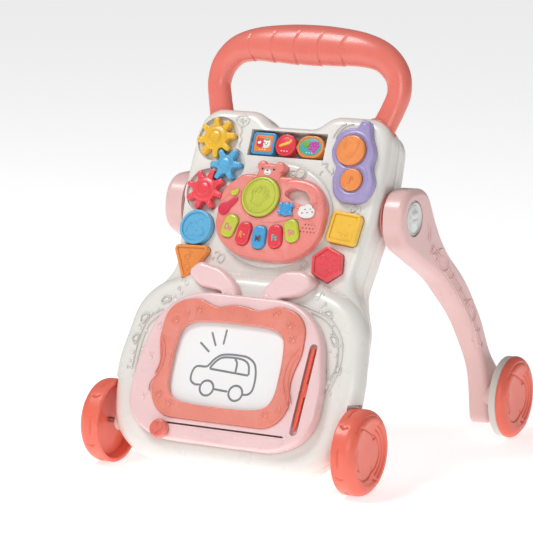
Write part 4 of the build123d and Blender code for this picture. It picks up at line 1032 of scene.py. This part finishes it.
def flip_picture(name, body, field_mat, centre, kind, extra):
    """Coloured rim and raised picture on both faces of a flip block."""
    u, v, a, b = centre
    for face in (1, -1):
        def place(x, y, h, face=face):
            return panel(x if face > 0 else 2 * u - x, y, -7.5 + face * h)
        n = f"{name}_{'front' if face > 0 else 'back'}"
        if kind == "square":
            pts = []
            for k, (x, y) in enumerate([(u + a - 2.4, v + b - 2.4), (u - a + 2.4, v + b - 2.4),
                                        (u - a + 2.4, v - b + 2.4), (u + a - 2.4, v - b + 2.4)]):
                pts += [(x + 2.4 * cos(pi / 2 * k + q), y + 2.4 * sin(pi / 2 * k + q))
                        for q in (0, 0.5, 1.05, 1.57)]
        else:
            pts = [(u + a * cos(tau * k / 40), v + b * sin(tau * k / 40)) for k in range(40)]
        plate = Shape(n + "_field", field_mat, body, place)
        plate.plate(pts, 4.6, 5.3, 0.15, smooth=False)
        plate.done()
        extra(n, body, place, u, v)


def underline(name, body, place, u, v):
    """Short white dashes printed under a flip picture."""
    bar = Shape(name + "_dashes", INK["ink_white"], body, place)
    for du in (-3.4, 0.0, 3.4):
        bar.ridge([(u + du - 1.1, v - 6.8), (u + du + 1.1, v - 6.8)], 5.2, 1.5, 0.5)
    bar.done()


def flip_blocks():
    def puppy(n, body, place, u, v):
        p = Shape(n + "_puppy", INK["ink_red"], body, place)
        p.plate([(u - 7.5, v + 7.6), (u - 5.6, v + 5.6), (u - 1.6, v + 5.8), (u + 1.2, v + 3.4),
                 (u + 1.6, v - 1.8), (u - 2.6, v - 4.4),
                 (u - 7.4, v - 2.6), (u - 8.6, v + 2.4)], 5.2, 5.8, 0.15)
        p.done()
        p = Shape(n + "_snout", INK["ink_white"], body, place)
        p.dome(u + 3.4, v - 0.8, 5.2, 5.4, 4.2, 0.8, 0.2)
        p.dome(u + 1.0, v + 2.6, 5.2, 1.5, 1.9, 0.9, 0.3)
        p.dome(u + 7.0, v + 2.8, 5.2, 1.3, 1.8, 0.9, -0.4)
        p.dome(u - 5.0, v + 1.0, 5.7, 2.2, 2.0, 0.4)
        p.done()
        p = Shape(n + "_scarf", INK["ink_teal"], body, place)
        p.ridge([(u + 0.5, v + 6.4), (u + 4, v + 5.2), (u + 7.4, v + 6.2)], 5.2, 2.2, 0.5)
        p.done()
        p = Shape(n + "_dots", INK["ink_dark"], body, place)
        for du, dv in ((2.0, 0.6), (5.4, 0.7), (3.8, -1.3), (-5.6, 2.4)):
            p.dome(u + du, v + dv, 5.9, 0.75, 0.75, 0.35)
        p.done()
        underline(n, body, place, u, v)

    def banana(n, body, place, u, v):
        p = Shape(n + "_banana", INK["ink_yellow"], body, place)
        for tip in ((6.8, 6.6), (4.0, 4.6), (1.2, 4.4)):
            p.ridge([(u - 7.6, v - 1.6), (u - 2.4, v - 0.6 + 0.2 * tip[1]),
                     (u + tip[0] * 0.5, v + 0.4 + 0.3 * tip[1]),
                     (u + tip[0], v + tip[1])], 5.2, 3.0, 0.8)
        p.done()
        underline(n, body, place, u, v)

    def grapes(n, body, place, u, v):
        p = Shape(n + "_grapes", INK["ink_purple"], body, place)
        for du, dv in ((0, 3.6), (3.8, 4.6), (7.4, 4.0), (1.6, 0.8), (5.2, 1.4), (8.6, 1.0), (3.2, -2.0),
                       (6.6, -1.8), (0, -1.8),
                       (5.0, -4.6)):
            p.dome(u + du, v + dv, 5.2, 2.3, 2.3, 1.0)
        p.done()
        underline(n, body, place, u, v)
        p = Shape(n + "_leaf", INK["ink_green"], body, place)
        p.plate([(u - 9, v + 5.2), (u - 5.6, v + 7.2), (u - 1.6, v + 5.6), (u - 1.4, v + 2.0),
                 (u - 4.2, v - 0.6), (u - 8.4, v + 0.6)],
                5.2, 5.9, 0.25)
        p.done()

    flip_picture("flip_square", "square_flip_block_body", INK["ink_orange"], (-32.0, 0.2, 10.8, 9.6),
                 "square", puppy)
    flip_picture("flip_round", "round_flip_block_body", MAT["key_red"], (-5.0, 0.2, 9.6, 9.6), "round",
                 banana)
    flip_picture("flip_oval", "oval_flip_block_body", INK["ink_teal"], (25.5, 0.2, 13.0, 9.6), "oval",
                 grapes)
    frame["nodes"]["square_flip_block"].data.materials[0] = MAT["key_blue"]
    frame["nodes"]["round_flip_block"].data.materials[0] = MAT["key_red"]
    frame["nodes"]["oval_flip_block"].data.materials[0] = MAT["block_orange"]


# ---------------------------------------------------------------- legs
def leg_relief():
    """Staff lines with notes and cloud faces running down the outer side of each leg."""
    for side, word in ((1, "right"), (-1, "left")):
        shape = Shape(f"{word}_leg_relief", MAT["leg_pink"], f"{word}_rear_leg", hug_leg(side, f"{word}_leg"))

        def line(points, width=1.3, height=1.0, closed=False):
            shape.ridge(points, 0, width, height, closed=closed, sunk=0.5, step=1.2)

        line([(3.0, 262.0), (4.6, 252.5), (1.8, 243.5)])
        line([(8.6, 257.3), (9.4, 249.1), (7.0, 240.1)])
        middle = [(8, 236), (22, 226), (38, 213), (62, 193), (86, 170), (107, 147), (122, 124), (133, 103)]
        for off in (-5.5, -1.8, 1.9, 5.6):
            line([(y + 0.68 * off, z + 0.73 * off) for y, z in middle])
        for y, z in ((12, 232), (24, 222)):
            line([(y - 5, z - 5), (y + 5, z + 5)])
        face = [(25.3, 226.2), (33, 230), (41, 227.6), (47, 222), (52.3, 214.0), (50, 206.5), (43, 204.5),
                (35.7, 205.2), (26.4, 211.4)]
        line(face, 1.5, 1.1, True)
        shape.dome(37.5, 216.5, -0.3, 9.0, 6.2, 1.0, -0.6)
        shape.dome(38.5, 221.0, 0.5, 1.1, 1.1, 0.8)
        shape.dome(44.5, 214.5, 0.5, 1.1, 1.1, 0.8)
        line([(35.5, 214.5), (37.0, 212.3), (39.6, 211.5)], 0.9, 1.6)
        second = [(97, 161), (105, 163.5), (114.5, 158.8), (120.0, 149.1), (117.5, 140.6), (109.3, 138.6),
                  (103.6, 144.8), (97, 151)]
        line(second, 1.5, 1.1, True)
        shape.dome(108.5, 151, -0.3, 8.4, 5.4, 1.0, -0.9)
        shape.dome(112.2, 153.5, 0.5, 1.0, 1.0, 0.8)
        shape.dome(114.2, 147.5, 0.5, 1.0, 1.0, 0.8)
        for y, z, size, turn in ((57, 194, 1.15, -0.75), (77, 177, 1.0, -0.85), (16, 226, 0.9, -0.75),
                                 (121, 125, 1.05, -1.0),
                                 (130, 108, 0.95, -1.1), (90, 164, 0.9, -0.9)):
            note(shape, y, z, 0, size, turn)
        shape.done()

        cap = Shape(f"{word}_cap_relief", MAT["cap_white"], f"{word}_rear_leg",
                    hug_leg(side, f"{word}_hub_cap"))
        for dz in (-7.2, 7.2):
            cap.dome(HINGE[0] + 0.6, HINGE[1] + dz, -0.2, 9.5, 8.0, 1.6)
        cap.ridge(circle_points(HINGE[0], HINGE[1], 16.6, 36), 0, 1.6, 0.7, closed=True)
        cap.done()


handle_piece()
handle_lips()
wheels()
gears()
body_relief()
belly_relief()
board_details()
piano_details()
toy_details()
flip_blocks()
leg_relief()
